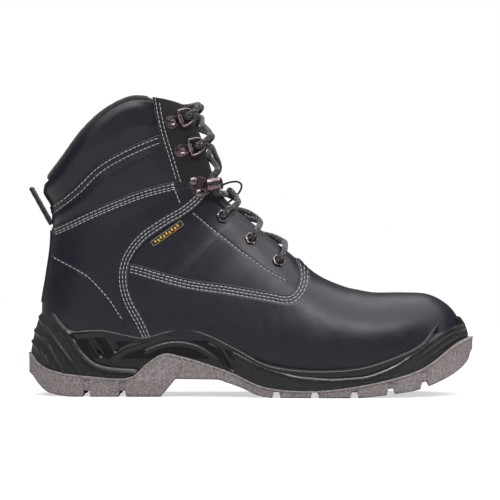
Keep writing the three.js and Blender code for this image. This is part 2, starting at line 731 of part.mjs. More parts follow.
// Body between levels of height, inset all round, and pull, which draws heel and toe further in.
function taperedPlan(outline, levels) {
  return loft(levels.map(([z, inset, pull]) => shifted(outline, -inset, true).map(([x, y]) => {
    const end = THREE.MathUtils.smoothstep(Math.abs(x), 0.72 * SOLE_LENGTH / 2, 0.98 * SOLE_LENGTH / 2);
    return new THREE.Vector3(x - Math.sign(x) * pull * end, y, z * HIGH);
  })));
}

const HEEL_GROOVES = [-111.5, -87];
const FOREFOOT_GROOVES = [17.8, 44.1, 71.3, 96.2, 119.4];

const RIM = 3.6;                  // width of the outsole's raised rim under the midsole wall

function outsole() {
  const outline = soleOutline();
  const blank = taperedPlan(outline, [[-1, 1.5, 1], [12, 0, 0], [30, 0, 0], [42, 0, 1]]);
  const edge = [...OUTSOLE_TOP, ...[...TREAD].reverse()];
  const well = planPrism(planInset(outline, RIM), 0, BOOT_HEIGHT).intersect(above(OUTSOLE_CORE, 0));
  const body = blank.intersect(sidePrism(edge)).subtract(well).subtract(footVolume(-1.2));
  const grooves = [...HEEL_GROOVES, ...FOREFOOT_GROOVES].map((x) => {
    const floor = treadHeight(x * LONG) + LUG_DEPTH;
    const half = LUG_GAP / 2;
    const taper = 1.4;
    return sidePrism([
      [x * LONG - half - taper, floor - 12],
      [x * LONG + half + taper, floor - 12],
      [x * LONG + half - taper, floor],
      [x * LONG - half + taper, floor],
    ]);
  });
  return cutAll(body, grooves);
}

function treadHeight(x) {
  const i = TREAD.findIndex(([treadX]) => treadX > x);
  const [x0, z0] = TREAD[i - 1];
  const [x1, z1] = TREAD[i];
  return z0 + (z1 - z0) * (x - x0) / (x1 - x0);
}

function footVolume(depth) {
  const rings = [];
  const ROWS = 21;
  const COLUMNS = 20;
  for (let i = 0; i <= ROWS; i += 1) {
    const ring = [];
    for (let j = 0; j <= COLUMNS; j += 1) {
      ring.push(layerPoint(i / ROWS, -1 + 2 * j / COLUMNS, depth));
    }
    rings.push(ring);
  }
  return loft(rings);
}

const MIDSOLE_LEVELS = [[0, 1, 0], [26, 1, 0.2], [42, 1.8, 2.4], [50, 2.4, 4.2], [62, 3.4, 8.4]];

function midsole() {
  const blank = taperedPlan(soleOutline(), MIDSOLE_LEVELS);
  const profile = [...MIDSOLE_TOP, ...shifted(OUTSOLE_TOP, -GAP).reverse()];
  const fill = [...MIDSOLE_TOP, ...shifted(OUTSOLE_CORE, -GAP).reverse()];
  const core = planPrism(planInset(soleOutline(), RIM + GAP), 0, BOOT_HEIGHT).intersect(sidePrism(fill));
  return blank.intersect(sidePrism(profile)).add(core).subtract(footVolume(-GAP));
}

function featherOutline(inset) {
  const stations = Array.from({ length: 21 }, (_, i) => section(0.35 + 13.45 * (i / 20) ** 0.9));
  const side = (half, sign) => stations.map((u) => [keelCurve.getPoint(u).x, sign * half.getPoint(u).y]);
  const ring = [...side(outerHalf, -1).reverse(), ...side(innerHalf, 1)];
  return planInset(ring, inset);
}

function underfootLayer(bottom, thickness, inset) {
  const keel = Array.from({ length: 12 }, (_, i) => keelCurve.getPoint(section(13.7 * i / 11)));
  const floor = keel.map((point) => [point.x, point.z]).reverse();
  floor.unshift([-200 * LONG, floor[0][1]]);
  floor.push([200 * LONG, floor[floor.length - 1][1]]);
  const raised = (rise) => floor.map(([x, z]) => [x, z + rise]);
  const band = sidePrism([...raised(bottom), ...raised(bottom + thickness).reverse()]);
  return planPrism(featherOutline(inset), 0, BOOT_HEIGHT).intersect(band);
}

// ---------------------------------------------------------------- hardware

const ROUND = 8;               // facets around a small round part
const FACET_SAG = 1.1;         // room for the flats of the curved leather
const CLIP_TUBE = 5.4;         // length of a clip's tube, along the ring's bar

function eyelet({ matrix }) {
  const hexagon = new THREE.Shape(Array.from({ length: 6 }, (_, i) => {
    const angle = Math.PI * i / 3;
    return new THREE.Vector2(Math.cos(angle), Math.sin(angle)).multiplyScalar(EYELET_HEX / 2);
  }));
  const hole = new THREE.Path().absarc(0, 0, EYELET_HOLE / 2, 0, 2 * Math.PI, true);
  hexagon.holes.push(hole);
  const flange = new THREE.ExtrudeGeometry(hexagon, { depth: EYELET_FLANGE, bevelEnabled: false, curveSegments: ROUND / 2 });
  flange.translate(0, 0, PLATE_LIFT);
  const inner = EYELET_HOLE / 2;
  const barrel = lathe([
    [inner, -LEATHER - FACET_SAG],
    [inner + EYELET_WALL, -LEATHER - FACET_SAG],
    [inner + EYELET_WALL, PLATE_LIFT + EYELET_FLANGE / 2],
    [inner, PLATE_LIFT + EYELET_FLANGE / 2],
    [inner, -LEATHER - FACET_SAG],
  ], ROUND);
  return placed(flange, matrix).add(placed(barrel, matrix));
}

function rivet({ matrix }, a = 0, b = 0) {
  const head = RIVET_HEAD / 2;
  const shank = RIVET_SHANK / 2;
  const foot = -LEATHER - FACET_SAG;
  const seat = PLATE_LIFT + HARDWARE_SHEET + GAP;
  const body = lathe([
    [0, foot - 0.7],
    [shank + 1, foot - 0.7],
    [shank + 1, foot],
    [shank, foot],
    [shank, seat],
    [head, seat],
    [head * 0.7, seat + 1.3],
    [0, seat + 1.9],
  ], ROUND);
  return placed(body.translate(a, b, 0), matrix);
}

// Steel clip: a pear-shaped plate under the rivet that ends in a tube around the ring's bar.
function ringClip({ matrix }) {
  const bar = RING_WIRE / 2;
  const plate = new THREE.Shape();
  plate.absarc(0, 0, RIVET_HEAD / 2 + 1.2, Math.PI / 2, 3 * Math.PI / 2, false);
  plate.lineTo(RING_AXIS, -CLIP_TUBE / 2);
  plate.lineTo(RING_AXIS, CLIP_TUBE / 2);
  plate.closePath();
  plate.holes.push(new THREE.Path().absarc(0, 0, RIVET_SHANK / 2 + GAP, 0, 2 * Math.PI, true));
  const sheetMetal = new THREE.ExtrudeGeometry(plate, { depth: HARDWARE_SHEET, bevelEnabled: false, curveSegments: 4 });
  sheetMetal.translate(0, 0, PLATE_LIFT);
  const bore = bar + GAP;
  const wall = bore + 0.7;
  const knuckle = lathe([
    [bore, -CLIP_TUBE / 2],
    [wall, -CLIP_TUBE / 2],
    [wall, CLIP_TUBE / 2],
    [bore, CLIP_TUBE / 2],
    [bore, -CLIP_TUBE / 2],
  ], ROUND).rotateX(-Math.PI / 2).translate(RING_AXIS, 0, RING_LIFT);
  const web = new THREE.BoxGeometry(HARDWARE_SHEET, CLIP_TUBE, RING_LIFT - bore - PLATE_LIFT);
  web.translate(RING_AXIS - HARDWARE_SHEET / 2, 0, (RING_LIFT - bore + PLATE_LIFT) / 2);
  const clip = placed(sheetMetal, matrix).add(placed(web, matrix)).add(placed(knuckle, matrix));
  const boreCut = new THREE.CylinderGeometry(bore, bore, CLIP_TUBE + 2, ROUND).translate(RING_AXIS, 0, RING_LIFT);
  return clip.subtract(placed(boreCut, matrix));
}

// D-ring: a straight bar in the clip's tube and a half round bow.
function dRing({ matrix }) {
  const wire = RING_WIRE / 2;
  const radius = RING_SPAN / 2 - wire;
  const torus = new THREE.TorusGeometry(radius, wire, 6, 16).scale(RING_REACH / radius, 1, 1);
  torus.translate(RING_AXIS, 0, RING_LIFT);
  const keep = new THREE.BoxGeometry(40, 40, 10).translate(RING_AXIS + 20, 0, RING_LIFT);
  const bow = placed(torus, matrix).intersect(placed(keep, matrix));
  const bar = new THREE.CylinderGeometry(wire, wire, RING_SPAN, 6).translate(RING_AXIS, 0, RING_LIFT);
  return bow.add(placed(bar, matrix));
}

// Lace lock: a three-cornered plate under two rivets with a rounded hood on two legs.
function laceLock({ matrix, lift }) {
  const plate = new THREE.Shape();
  const corner = RIVET_HEAD / 2 + 0.8;
  const [upper, lower] = LOCK_RIVETS.map(([a, b]) => [a, b * lift]);
  const [first, second] = lift > 0 ? [upper, lower] : [lower, upper];
  plate.moveTo(TUNNEL[1] + 0.6, 2.6);
  plate.lineTo(first[0], first[1] + corner);
  plate.absarc(first[0], first[1], corner, Math.PI / 2, Math.PI, false);
  plate.absarc(second[0], second[1], corner, Math.PI, 3 * Math.PI / 2, false);
  plate.lineTo(TUNNEL[1] + 0.6, -2.6);
  plate.closePath();
  [first, second].forEach(([a, b]) => {
    plate.holes.push(new THREE.Path().absarc(a, b, RIVET_SHANK / 2 + GAP, 0, 2 * Math.PI, true));
  });
  const sheetMetal = new THREE.ExtrudeGeometry(plate, { depth: HARDWARE_SHEET, bevelEnabled: false, curveSegments: 4 });
  sheetMetal.translate(0, 0, PLATE_LIFT);
  const base = PLATE_LIFT + HARDWARE_SHEET / 2;
  const rise = TUNNEL_HEIGHT + HARDWARE_SHEET;
  const legs = TUNNEL.map((a) => new THREE.BoxGeometry(1.2, 5.2, rise).translate(a, 0, base + rise / 2));
  const hoodLength = TUNNEL[1] - TUNNEL[0] + 1.2;
  const hood = new THREE.CylinderGeometry(4, 4, hoodLength, 10).rotateZ(Math.PI / 2).scale(1, 1, 0.42);
  hood.translate((TUNNEL[0] + TUNNEL[1]) / 2, 0, PLATE_LIFT + HARDWARE_SHEET + TUNNEL_HEIGHT + 1.68);
  return [...legs, hood].reduce((lock, piece) => lock.add(placed(piece, matrix)), placed(sheetMetal, matrix));
}

// ---------------------------------------------------------------- lace

const CROSS_OVER = 2.2;         // strand heights over the throat, at a crossing
const CROSS_UNDER = -2.8;
const PLACE_OF_ROW = [...eyeletFrames, lockFrames, ...ringFrames];

// Section at which two strands cross, between a row and the next one up.
function crossingPlace(row) {
  return (PLACE_OF_ROW[row][0].u + PLACE_OF_ROW[row + 1][0].u) / 2;
}

// In below the facing, up through the eyelet and out over the facing's edge.
function throughEyelet({ u, round, point }) {
  const edge = (beyond, rise, depth) => {
    const place = u + rise * STEP;
    return layerPoint(place, Math.sign(round) * roundAt(place, throatHalf(place) - beyond), depth);
  };
  const deep = LACE_UNDER;
  return [edge(4, -6, deep), edge(-2, -3, deep), point(4.6, -0.3, -deep), point(1.4, 0, 0.9 - deep),
    point(0.2, 0, -2.4), point(0.1, 0, 0.4), point(0.4, 0, 2.9), point(2.6, 0.2, 4.7), point(6, 0.8, 4.5),
    edge(-2, 3, -2.7), edge(3, 7, -2.4)];
}

function throughLock({ point }) {
  const middle = (TUNNEL[0] + TUNNEL[1]) / 2;
  const height = PLATE_LIFT + HARDWARE_SHEET + TUNNEL_HEIGHT / 2;
  return [point(middle + 7, -8, height + 1.6), point(middle + 0.8, -4.5, height + 0.2), point(middle, 0, height),
    point(middle + 0.5, 4.5, height), point(middle + 6, 9, height - 1)];
}

// Under the bow, up through the ring and back over the bow.
function throughRing({ point }) {
  const radius = LACE_DIAMETER / 2 + RING_WIRE / 2 + 1.5;
  const turn = (degrees, b) => {
    const angle = THREE.MathUtils.degToRad(degrees);
    return point(BOW - radius * Math.sin(angle), b, RING_LIFT - radius * Math.cos(angle));
  };
  return [point(BOW + 5, -3, RING_LIFT - radius - 0.6), turn(0, -1.8), turn(45, -1), turn(90, 0), turn(135, 1),
    turn(180, 1.8), point(BOW + 5, 4, RING_LIFT + radius - 1.4)];
}

function throughRow(row, side) {
  const frame = PLACE_OF_ROW[row][side];
  if (row < EYELETS.length) {
    return throughEyelet(frame);
  }
  return row === EYELETS.length ? throughLock(frame) : throughRing(frame);
}

function strand(firstSide) {
  const points = [];
  let side = firstSide;
  for (let row = 0; row < PLACE_OF_ROW.length; row += 1) {
    const through = throughRow(row, side);
    points.push(...(row === 0 ? through.slice(1) : through));
    if (row + 1 < PLACE_OF_ROW.length) {
      points.push(layerPoint(crossingPlace(row), 0, firstSide === 0 ? -CROSS_OVER : -CROSS_UNDER));
    }
    side = 1 - side;
  }
  return [...points, ...tail(1 - side)];
}

// From the top ring over the tongue's edge and down inside the shaft.
function tail(side) {
  const y = SIDES[side].sign * 9 * WIDE;
  const inside = TONGUE_TOP + TONGUE_FACE + TONGUE_FOAM + 16;
  const at = (u, depth) => {
    const ridge = layerPoint(u, 0, depth);
    ridge.y = y;
    return ridge;
  };
  return [at(TONGUE_END + 0.018, 3), at(TONGUE_END + 0.028, TONGUE_TOP + 3), at(TONGUE_END, inside - 1),
    at(section(17.4), inside), at(section(15), inside), at(section(12.5), inside), at(section(10.5), inside)];
}

function lace() {
  const bar = layerPoint(eyeletFrames[0][0].u, 0, LACE_UNDER);
  const route = [...strand(0).reverse(), bar, ...strand(1)];
  const path = new THREE.CatmullRomCurve3(route);
  path.getUtoTmapping = (share) => share;
  return tube(path, LACE_DIAMETER, 6, route.length - 1);
}

// ---------------------------------------------------------------- trim

function label() {
  const frame = mountFrame([-56.5, 111.5], -1);
  const end = mountFrame([-48, 117.5], -1);
  const along = end.origin.clone().sub(frame.origin);
  along.addScaledVector(frame.out, -along.dot(frame.out)).normalize();
  const matrix = new THREE.Matrix4().makeBasis(along, frame.out.clone().cross(along), frame.out);
  matrix.setPosition(frame.origin);
  return placed(new THREE.BoxGeometry(26, 3.4, 0.6).translate(0, 0, 1.1), matrix);
}

const TAB_ROOT = [-138.2 * LONG, 118.5 * HIGH];
const TAB_LEAN = 61;            // degrees above the horizontal, towards the back

function pullTab() {
  const shape = new THREE.Shape();
  const half = TAB_THICKNESS / 2;
  shape.moveTo(0, -half);
  shape.lineTo(TAB_LENGTH - half, -half);
  shape.absarc(TAB_LENGTH - half, 0, half, -Math.PI / 2, Math.PI / 2, false);
  shape.lineTo(0, half);
  shape.absarc(0, 0, half, Math.PI / 2, 3 * Math.PI / 2, false);
  const tab = new THREE.ExtrudeGeometry(shape, { depth: TAB_WIDTH, bevelEnabled: false, curveSegments: 4 });
  tab.translate(0, 0, -TAB_WIDTH / 2).rotateX(Math.PI / 2);
  tab.rotateY(-THREE.MathUtils.degToRad(180 - TAB_LEAN));
  return tab.translate(TAB_ROOT[0], 0, TAB_ROOT[1]);
}

// ---------------------------------------------------------------- assembly

const LOOKS = {
  leather: [0x26242c, 0.5, 0],
  nubuck: [0x1a1a1a, 0.95, 0],
  rubber: [0x6f6566, 0.85, 0],
  midsole: [0x17181a, 0.45, 0],
  steel: [0x9a9a9a, 0.4, 1],
  gunmetal: [0x4a4042, 0.3, 1],
  board: [0xb9a988, 0.9, 0],
  foam: [0xcfc7a8, 0.95, 0],
  textile: [0x2a2b2d, 0.95, 0],
  lace: [0x2e2f31, 0.9, 0],
  webbing: [0x3a3b3e, 0.9, 0],
};

const boot = new THREE.Group();

function addPiece(name, shape, look) {
  const [color, roughness, metalness] = LOOKS[look];
  const geometry = shape.isBufferGeometry ? shape : geometryOf(shape);
  const mesh = new THREE.Mesh(geometry, new THREE.MeshStandardMaterial({ color, roughness, metalness }));
  mesh.name = name;
  boot.add(mesh);
}

addPiece('outsole', outsole(), 'rubber');
addPiece('midsole', midsole(), 'midsole');

const STACK_INSET = LINING_BOTTOM + 1.6;
const PLATE_BASE = 2 * GAP;
const BOARD_BASE = PLATE_BASE + PLATE_STEEL + GAP;
const FOOTBED_BASE = BOARD_BASE + BOARD + GAP;
addPiece('steel_midsole_plate', underfootLayer(PLATE_BASE, PLATE_STEEL, STACK_INSET + 2), 'steel');
addPiece('insole_board', underfootLayer(BOARD_BASE, BOARD, STACK_INSET), 'board');
addPiece('footbed', underfootLayer(FOOTBED_BASE, FOOTBED, STACK_INSET), 'textile');

addPiece('steel_toe_cap', toeCap(), 'steel');
addPiece('toe_cap_edge_pad', capEdgePad(), 'foam');
addPiece('heel_counter', heelCounter(), 'board');
addPiece('collar_foam', collarFoam(), 'foam');
Object.entries(linings()).forEach(([name, solid]) => addPiece(name, solid, 'textile'));

const panels = leatherPanels();
addPiece('vamp', panels.vamp, 'leather');
Object.entries(panels.paired).forEach(([name, solid]) => {
  const look = name === 'facing' ? 'nubuck' : 'leather';
  addPiece(`${name}_outer`, solid.intersect(outerSide), look);
  addPiece(`${name}_inner`, solid.intersect(innerSide), look);
});
addPiece('backstay', backstay(), 'leather');
addPiece('topline_binding', toplineBinding(), 'textile');
addPiece('pull_tab', pullTab(), 'webbing');
addPiece('side_label', label(), 'webbing');

const FOAM_TOP = TONGUE_TOP + TONGUE_FACE + GAP;
addPiece('tongue_face', tongueLayer(TONGUE_TOP, TONGUE_FACE), 'nubuck');
addPiece('tongue_padding', tongueLayer(FOAM_TOP, TONGUE_FOAM), 'foam');
addPiece('tongue_lining', tongueLayer(FOAM_TOP + TONGUE_FOAM + GAP, TONGUE_FACE), 'textile');
addPiece('lace_keeper', laceKeeper(), 'webbing');

SIDES.forEach(({ name, sign }, side) => {
  addPiece(`tongue_gusset_${name}`, gusset(sign), 'textile');
  eyeletFrames.forEach((row, i) => addPiece(`eyelet_${i + 1}_${name}`, eyelet(row[side]), 'gunmetal'));
  addPiece(`lace_lock_${name}`, laceLock(lockFrames[side]), 'gunmetal');
  LOCK_RIVETS.forEach(([a, b], i) => {
    addPiece(`lock_rivet_${i + 1}_${name}`, rivet(lockFrames[side], a, b * lockFrames[side].lift), 'gunmetal');
  });
  ringFrames.forEach((row, i) => {
    addPiece(`ring_clip_${i + 1}_${name}`, ringClip(row[side]), 'gunmetal');
    addPiece(`ring_rivet_${i + 1}_${name}`, rivet(row[side]), 'gunmetal');
    addPiece(`d_ring_${i + 1}_${name}`, dRing(row[side]), 'gunmetal');
  });
});
addPiece('lace', lace(), 'lace');

export default boot;
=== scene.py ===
"""Steel toe work boot: the looks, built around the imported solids.

Lengths are in millimetres up to mesh_object().
"""

import math

import bmesh
import bpy
import numpy as np
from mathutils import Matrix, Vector
from mathutils.bvhtree import BVHTree


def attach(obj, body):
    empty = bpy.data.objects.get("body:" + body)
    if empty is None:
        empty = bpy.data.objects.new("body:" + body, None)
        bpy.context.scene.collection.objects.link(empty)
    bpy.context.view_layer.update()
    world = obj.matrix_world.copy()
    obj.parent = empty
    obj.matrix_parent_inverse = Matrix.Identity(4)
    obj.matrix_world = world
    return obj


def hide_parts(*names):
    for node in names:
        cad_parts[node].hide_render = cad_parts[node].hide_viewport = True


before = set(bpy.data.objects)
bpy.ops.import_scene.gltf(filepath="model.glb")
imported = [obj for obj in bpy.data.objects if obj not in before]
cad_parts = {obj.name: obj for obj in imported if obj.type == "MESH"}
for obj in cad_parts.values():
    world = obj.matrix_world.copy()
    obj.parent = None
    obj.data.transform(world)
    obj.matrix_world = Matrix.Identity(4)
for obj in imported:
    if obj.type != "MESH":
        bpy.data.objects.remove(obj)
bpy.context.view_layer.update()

MM = 0.001
SIDES = {"outer": -1, "inner": 1}

# ---------------------------------------------------------------- curves


class Curve:
    """Centripetal Catmull-Rom curve through points, counted in equal steps from point to point."""

    def __init__(self, points, closed=False):
        self.points = np.array(points, float)
        self.closed = closed

    def at(self, share):
        share = np.asarray(share, float)
        points = self.points
        count = len(points)
        if self.closed:
            place = share * count
            first = np.floor(place).astype(int)
            weight = place - first
            around = [points[(first + k) % count] for k in (-1, 0, 1, 2)]
        else:
            place = share * (count - 1)
            first = np.clip(np.floor(place).astype(int), 0, count - 2)
            weight = place - first
            longer = np.vstack([2 * points[0] - points[1], points, 2 * points[-1] - points[-2]])
            around = [longer[first + k] for k in (0, 1, 2, 3)]
        p0, p1, p2, p3 = around
        step = [np.sum((b - a) ** 2, axis=-1) ** 0.25 for a, b in ((p0, p1), (p1, p2), (p2, p3))]
        d1 = np.where(step[1] < 1e-4, 1.0, step[1])[..., None]
        d0 = np.where(step[0] < 1e-4, d1[..., 0], step[0])[..., None]
        d2 = np.where(step[2] < 1e-4, d1[..., 0], step[2])[..., None]
        t1 = ((p1 - p0) / d0 - (p2 - p0) / (d0 + d1) + (p2 - p1) / d1) * d1
        t2 = ((p2 - p1) / d1 - (p3 - p1) / (d1 + d2) + (p3 - p2) / d2) * d1
        w = weight[..., None]
        return p1 + t1 * w + (-3 * p1 + 3 * p2 - 2 * t1 - t2) * w ** 2 + (2 * p1 - 2 * p2 + t1 + t2) * w ** 3

    def points_on(self, steps):
        return self.at(np.linspace(0, 1, steps + 1))


def smoothstep(x, low, high):
    t = np.clip((x - low) / (high - low), 0, 1)
    return t * t * (3 - 2 * t)


def unit(vectors):
    return vectors / np.maximum(np.linalg.norm(vectors, axis=-1, keepdims=True), 1e-12)


def resampled(points, spacing):
    """Points at equal spacing along a polyline."""
    points = np.asarray(points, float)
    run = np.concatenate([[0], np.cumsum(np.linalg.norm(np.diff(points, axis=0), axis=1))])
    count = max(2, int(round(run[-1] / spacing)) + 1)
    wanted = np.linspace(0, run[-1], count)
    return np.stack([np.interp(wanted, run, points[:, k]) for k in range(points.shape[1])], axis=1)


def side_line(points, steps=120):
    """Smooth line in the side view, as (x, z)."""
    return Curve([(x, 0, z) for x, z in points]).points_on(steps)[:, [0, 2]]


def shifted(line, distance):
    """A polyline moved to the right of its direction."""
    direction = unit(np.gradient(line, axis=0))
    return line + np.stack([direction[:, 1], -direction[:, 0]], axis=1) * distance


def signed_distance(line, points):
    """Distance of (x, z) points from a polyline, positive on its right."""
    ends = [line[0] + 150 * unit(line[0] - line[1]), line[-1] + 150 * unit(line[-1] - line[-2])]
    path = np.vstack([ends[0], line, ends[1]])
    best = np.full(len(points), 1e9)
    side = np.ones(len(points))
    for a, b in zip(path[:-1], path[1:]):
        along = b - a
        share = np.clip(((points - a) @ along) / max(along @ along, 1e-12), 0, 1)
        offset = points - (a + share[:, None] * along)
        distance = np.linalg.norm(offset, axis=1)
        nearer = distance < best - 1e-9
        best[nearer] = distance[nearer]
        cross = along[0] * offset[:, 1] - along[1] * offset[:, 0]
        side[nearer] = np.where(cross[nearer] > 0, -1.0, 1.0)
    return best * side


# ---------------------------------------------------------------- form of the upper
#
# The same sections as the solids: each runs from the ridge, over the instep and up the
# front of the shaft, to the keel, under the foot and up the back seam.

SECTIONS = [
    # ridge x, z, keel x, z, outer half widths at the widest and at the keel, inner ones, low, closing
    (144.6, 34.0, 144.6, 34.0, 0, 0, 0, 0, 0.60, 1.0),
    (143.8, 44.0, 143.2, 25.0, 10.5, 9.5, 11, 10, 0.60, 1.0),
    (140.8, 53.5, 138.6, 22.0, 17.5, 16.5, 18.5, 17.5, 0.62, 1.0),
    (134.0, 61.5, 131.0, 20.0, 26, 24.5, 28, 26.5, 0.64, 1.0),
    (122.0, 67.8, 118.0, 17.5, 34.5, 33, 38, 36.5, 0.66, 1.0),
    (104.0, 69.0, 100.0, 15.5, 42, 40.5, 44.5, 43, 0.68, 1.0),
    (82.0, 69.3, 78.0, 14.5, 47, 45.5, 48, 46.5, 0.70, 1.0),
    (60.0, 75.0, 54.0, 14.5, 48, 46.5, 46, 44.5, 0.72, 1.0),
    (43.0, 83.5, 28.0, 15.5, 45.5, 43.5, 41, 38.5, 0.73, 1.0),
    (29.0, 97.5, 0.0, 20.0, 42, 38, 37, 32, 0.74, 1.05),
    (16.0, 109.0, -30.0, 26.0, 38, 33, 34.5, 28, 0.74, 1.1),
    (4.0, 120.0, -65.0, 29.0, 35, 30.5, 33, 27, 0.74, 1.2),
    (-3.5, 128.0, -100.0, 30.0, 34, 29.5, 32.5, 27.5, 0.75, 1.4),
    (-8.5, 134.0, -128.0, 31.0, 33.5, 20.5, 32.5, 19.5, 0.76, 1.8),
    (-12.5, 139.5, -140.8, 38.0, 33.5, 0, 32.5, 0, 0.75, 2.1),
    (-17.0, 147.5, -142.6, 60.0, 33.5, 0, 32.5, 0, 0.72, 2.1),
    (-21.5, 158.0, -139.4, 82.0, 33.5, 0, 33, 0, 0.68, 2.1),
    (-25.5, 169.5, -136.4, 104.0, 35, 0, 34.5, 0, 0.64, 2.1),
    (-30.0, 181.0, -136.6, 122.0, 37, 0, 36.5, 0, 0.62, 2.1),
    (-36.5, 193.0, -141.6, 140.0, 39.5, 0, 39, 0, 0.60, 2.1),
    (-44.0, 206.0, -143.0, 158.0, 41, 0, 40.5, 0, 0.60, 2.1),
    (-52.0, 222.0, -143.0, 180.0, 42, 0, 41.5, 0, 0.60, 2.1),
]
LAST_SECTION = len(SECTIONS) - 1
RIDGE = Curve([(s[0], 0, s[1]) for s in SECTIONS])
KEEL = Curve([(s[2], 0, s[3]) for s in SECTIONS])
HALF = {-1: Curve([(s[4], s[5], s[8] + s[9]) for s in SECTIONS]),
        1: Curve([(s[6], s[7], s[8] + s[9]) for s in SECTIONS])}
CLOSING = Curve([(s[8], s[9], 0) for s in SECTIONS])

LEATHER = 2.0
CAP_TOP = 2.3
CAP_BOTTOM = 4.1
LINING_TOP = 4.4
LINING_BOTTOM = 5.6
LACE_DIAMETER = 3.8
LACE_UNDER = LEATHER + 1.6 + LACE_DIAMETER / 2
TONGUE_TOP = LACE_UNDER + LACE_DIAMETER / 2 + 0.7


def section(number):
    return number / LAST_SECTION


def ridge_power(u):
    return 2.2 + 0.9 * smoothstep(u, section(6), section(15))


def skin(u, around):
    """Points of the outer leather face.

    around runs from -1, the keel on the outer side, by 0, the ridge, to 1, the keel on the inner side.
    """
    u, around = (np.ravel(a) for a in np.broadcast_arrays(np.asarray(u, float), np.asarray(around, float)))
    share = np.where(around > 1, around - 2, around)
    ridge = RIDGE.at(u)
    across = KEEL.at(u) - ridge
    half = np.where((share < 0)[:, None], HALF[-1].at(u), HALF[1].at(u))
    closing = CLOSING.at(u)
    height = np.linalg.norm(across, axis=1)
    low = closing[:, 0] * height
    angle = np.abs(share) * math.pi
    power = 2 / ridge_power(u)
    turn = np.clip(angle - math.pi / 2, 0, math.pi / 2)
    first = angle <= math.pi / 2
    down = np.where(first, low * (1 - np.abs(np.cos(np.minimum(angle, math.pi / 2))) ** power),
                    low + (height - low) * np.sin(turn))
    out = np.where(first, half[:, 0] * np.abs(np.sin(np.minimum(angle, math.pi / 2))) ** power,
                   half[:, 1] + (half[:, 0] - half[:,
                                                   1]) * np.clip(np.cos(turn), 0, 1) ** (2 / closing[:, 1]))
    point = ridge + across * (down / np.maximum(height, 1e-9))[:, None]
    point[:, 1] = np.where(share < 0, -out, out)
    return point


STEP = 1e-3


def outward(u, around):
    """Unit normals of the leather face."""
    u, around = (np.ravel(a).astype(float) for a in np.broadcast_arrays(u, around))
    edge = np.abs(np.abs(around) - 1) < STEP
    inward = np.where(np.abs(around) > 1, 1.0, -1.0) * np.sign(around)
    middle = around + np.where(edge, inward * STEP, 0)
    along = skin(np.minimum(1, u + STEP), middle) - skin(np.maximum(0, u - STEP), middle)
    reach = np.where(np.abs(middle) < 2 * STEP, 4 * STEP, STEP / 2)
    about = skin(u, middle + reach) - skin(u, middle - reach)
    normal = unit(np.cross(about, along))
    seam = edge & (u >= section(13.9))
    normal[seam, 1] = 0
    normal = unit(normal)
    normal[u < STEP] = (1, 0, 0)
    return normal


def layer(u, around, depth):
    """Points at a depth below the leather face."""
    return skin(u, around) - outward(u, around) * np.ravel(np.broadcast_arrays(depth, u, around)[0])[:, None]


def around_at(u, half):
    """How far round, from 0 at the ridge, a section is that half width wide."""
    widest = HALF[-1].at(u)[..., 0]
    return np.arcsin(np.minimum(1, half / np.maximum(widest, 1e-9)) ** (ridge_power(u) / 2)) / math.pi


THROAT_START = section(8.75)


def throat_half(u):
    return 11 + 16 * (u - THROAT_START) / (1 - THROAT_START)


def even_shares(sample, count, dense=1500):
    """Shares from 0 to 1 that cut the mean length of some sampled lines into equal parts."""
    t = np.linspace(0, 1, dense)
    mean = np.zeros(dense)
    for line in sample(t):
        run = np.concatenate([[0], np.cumsum(np.linalg.norm(np.diff(line, axis=0), axis=1))])
        mean += run / run[-1]
    return np.interp(np.linspace(0, mean[-1], count + 1), mean, t)


HALF_ROUND = even_shares(lambda t: [skin(np.full_like(t, section(k)), t) for k in (7, 10, 13, 16, 19)], 150)
ROUND = np.concatenate([-HALF_ROUND[::-1], HALF_ROUND[1:]])
ALONG = even_shares(lambda t: [skin(t, np.full_like(t, k)) for k in (0.1, 0.45, 0.8)], 300)

# ---------------------------------------------------------------- side-view lines

COLLAR_LINE = side_line([(-165, 132), (-140, 151), (-128, 164.5), (-114.5, 182), (-97, 197.5), (-80, 205),
                         (-64, 204), (-47.5, 199.6), (-34, 192), (-10, 178)])
COLLAR_SEAM = side_line([(-165, 112), (-136, 131), (-121, 142), (-104, 158), (-85, 169), (-61, 179),
                         (-30, 188)])
ANKLE_SEAM = side_line([(-165, 106), (-133, 116.5), (-103, 130), (-75, 141), (-52, 147), (-26, 151.5),
                        (10, 153)])
FACING_SEAM = side_line([(-69, 225), (-66, 203), (-62, 182), (-57, 165), (-51, 145), (-46, 130)])
QUARTER_SEAM = side_line([(-22, 175), (-26.5, 152), (-30, 137), (-40.5, 126), (-57.5, 115.5), (-72, 105),
                          (-81, 92), (-83, 80), (-80, 67), (-71.5, 51.5), (-62, 30), (-54, 0)])
VAMP_SEAM = side_line([(-100, 93), (-80.5, 91), (-62.5, 86), (-41.5, 80.5), (-13, 76.5), (14.5, 72),
                       (27, 70.5),
                       (32, 76), (33.3, 85), (30.6, 94.5), (26, 108)])
COUNTER_LINE = side_line([(-138.2, 96), (-130.3, 92.5), (-121, 88.1), (-111.2, 82.6), (-103.8, 75.2),
                          (-97.4, 68), (-93.4, 62.6), (-87.1, 52.9)])
EYESTAY_LINE = side_line([(-39.3, 125.5), (-21.5, 111), (-1.7, 95.8), (11.5, 86.5), (24.7, 79.3)])
MIDSOLE_TOP = side_line([(-165, 70), (-143, 60), (-133, 52), (-122, 45.5), (-112, 46), (-100, 46.5),
                         (-85, 43.5),
                         (-73, 41.6), (-60, 45), (-46, 48), (-31, 44.5), (-7, 33), (10, 24), (32, 20),
                         (60, 19.8),
                         (78, 22), (101, 29.5), (118, 37.5), (130, 48.5), (141, 53), (160, 54)])
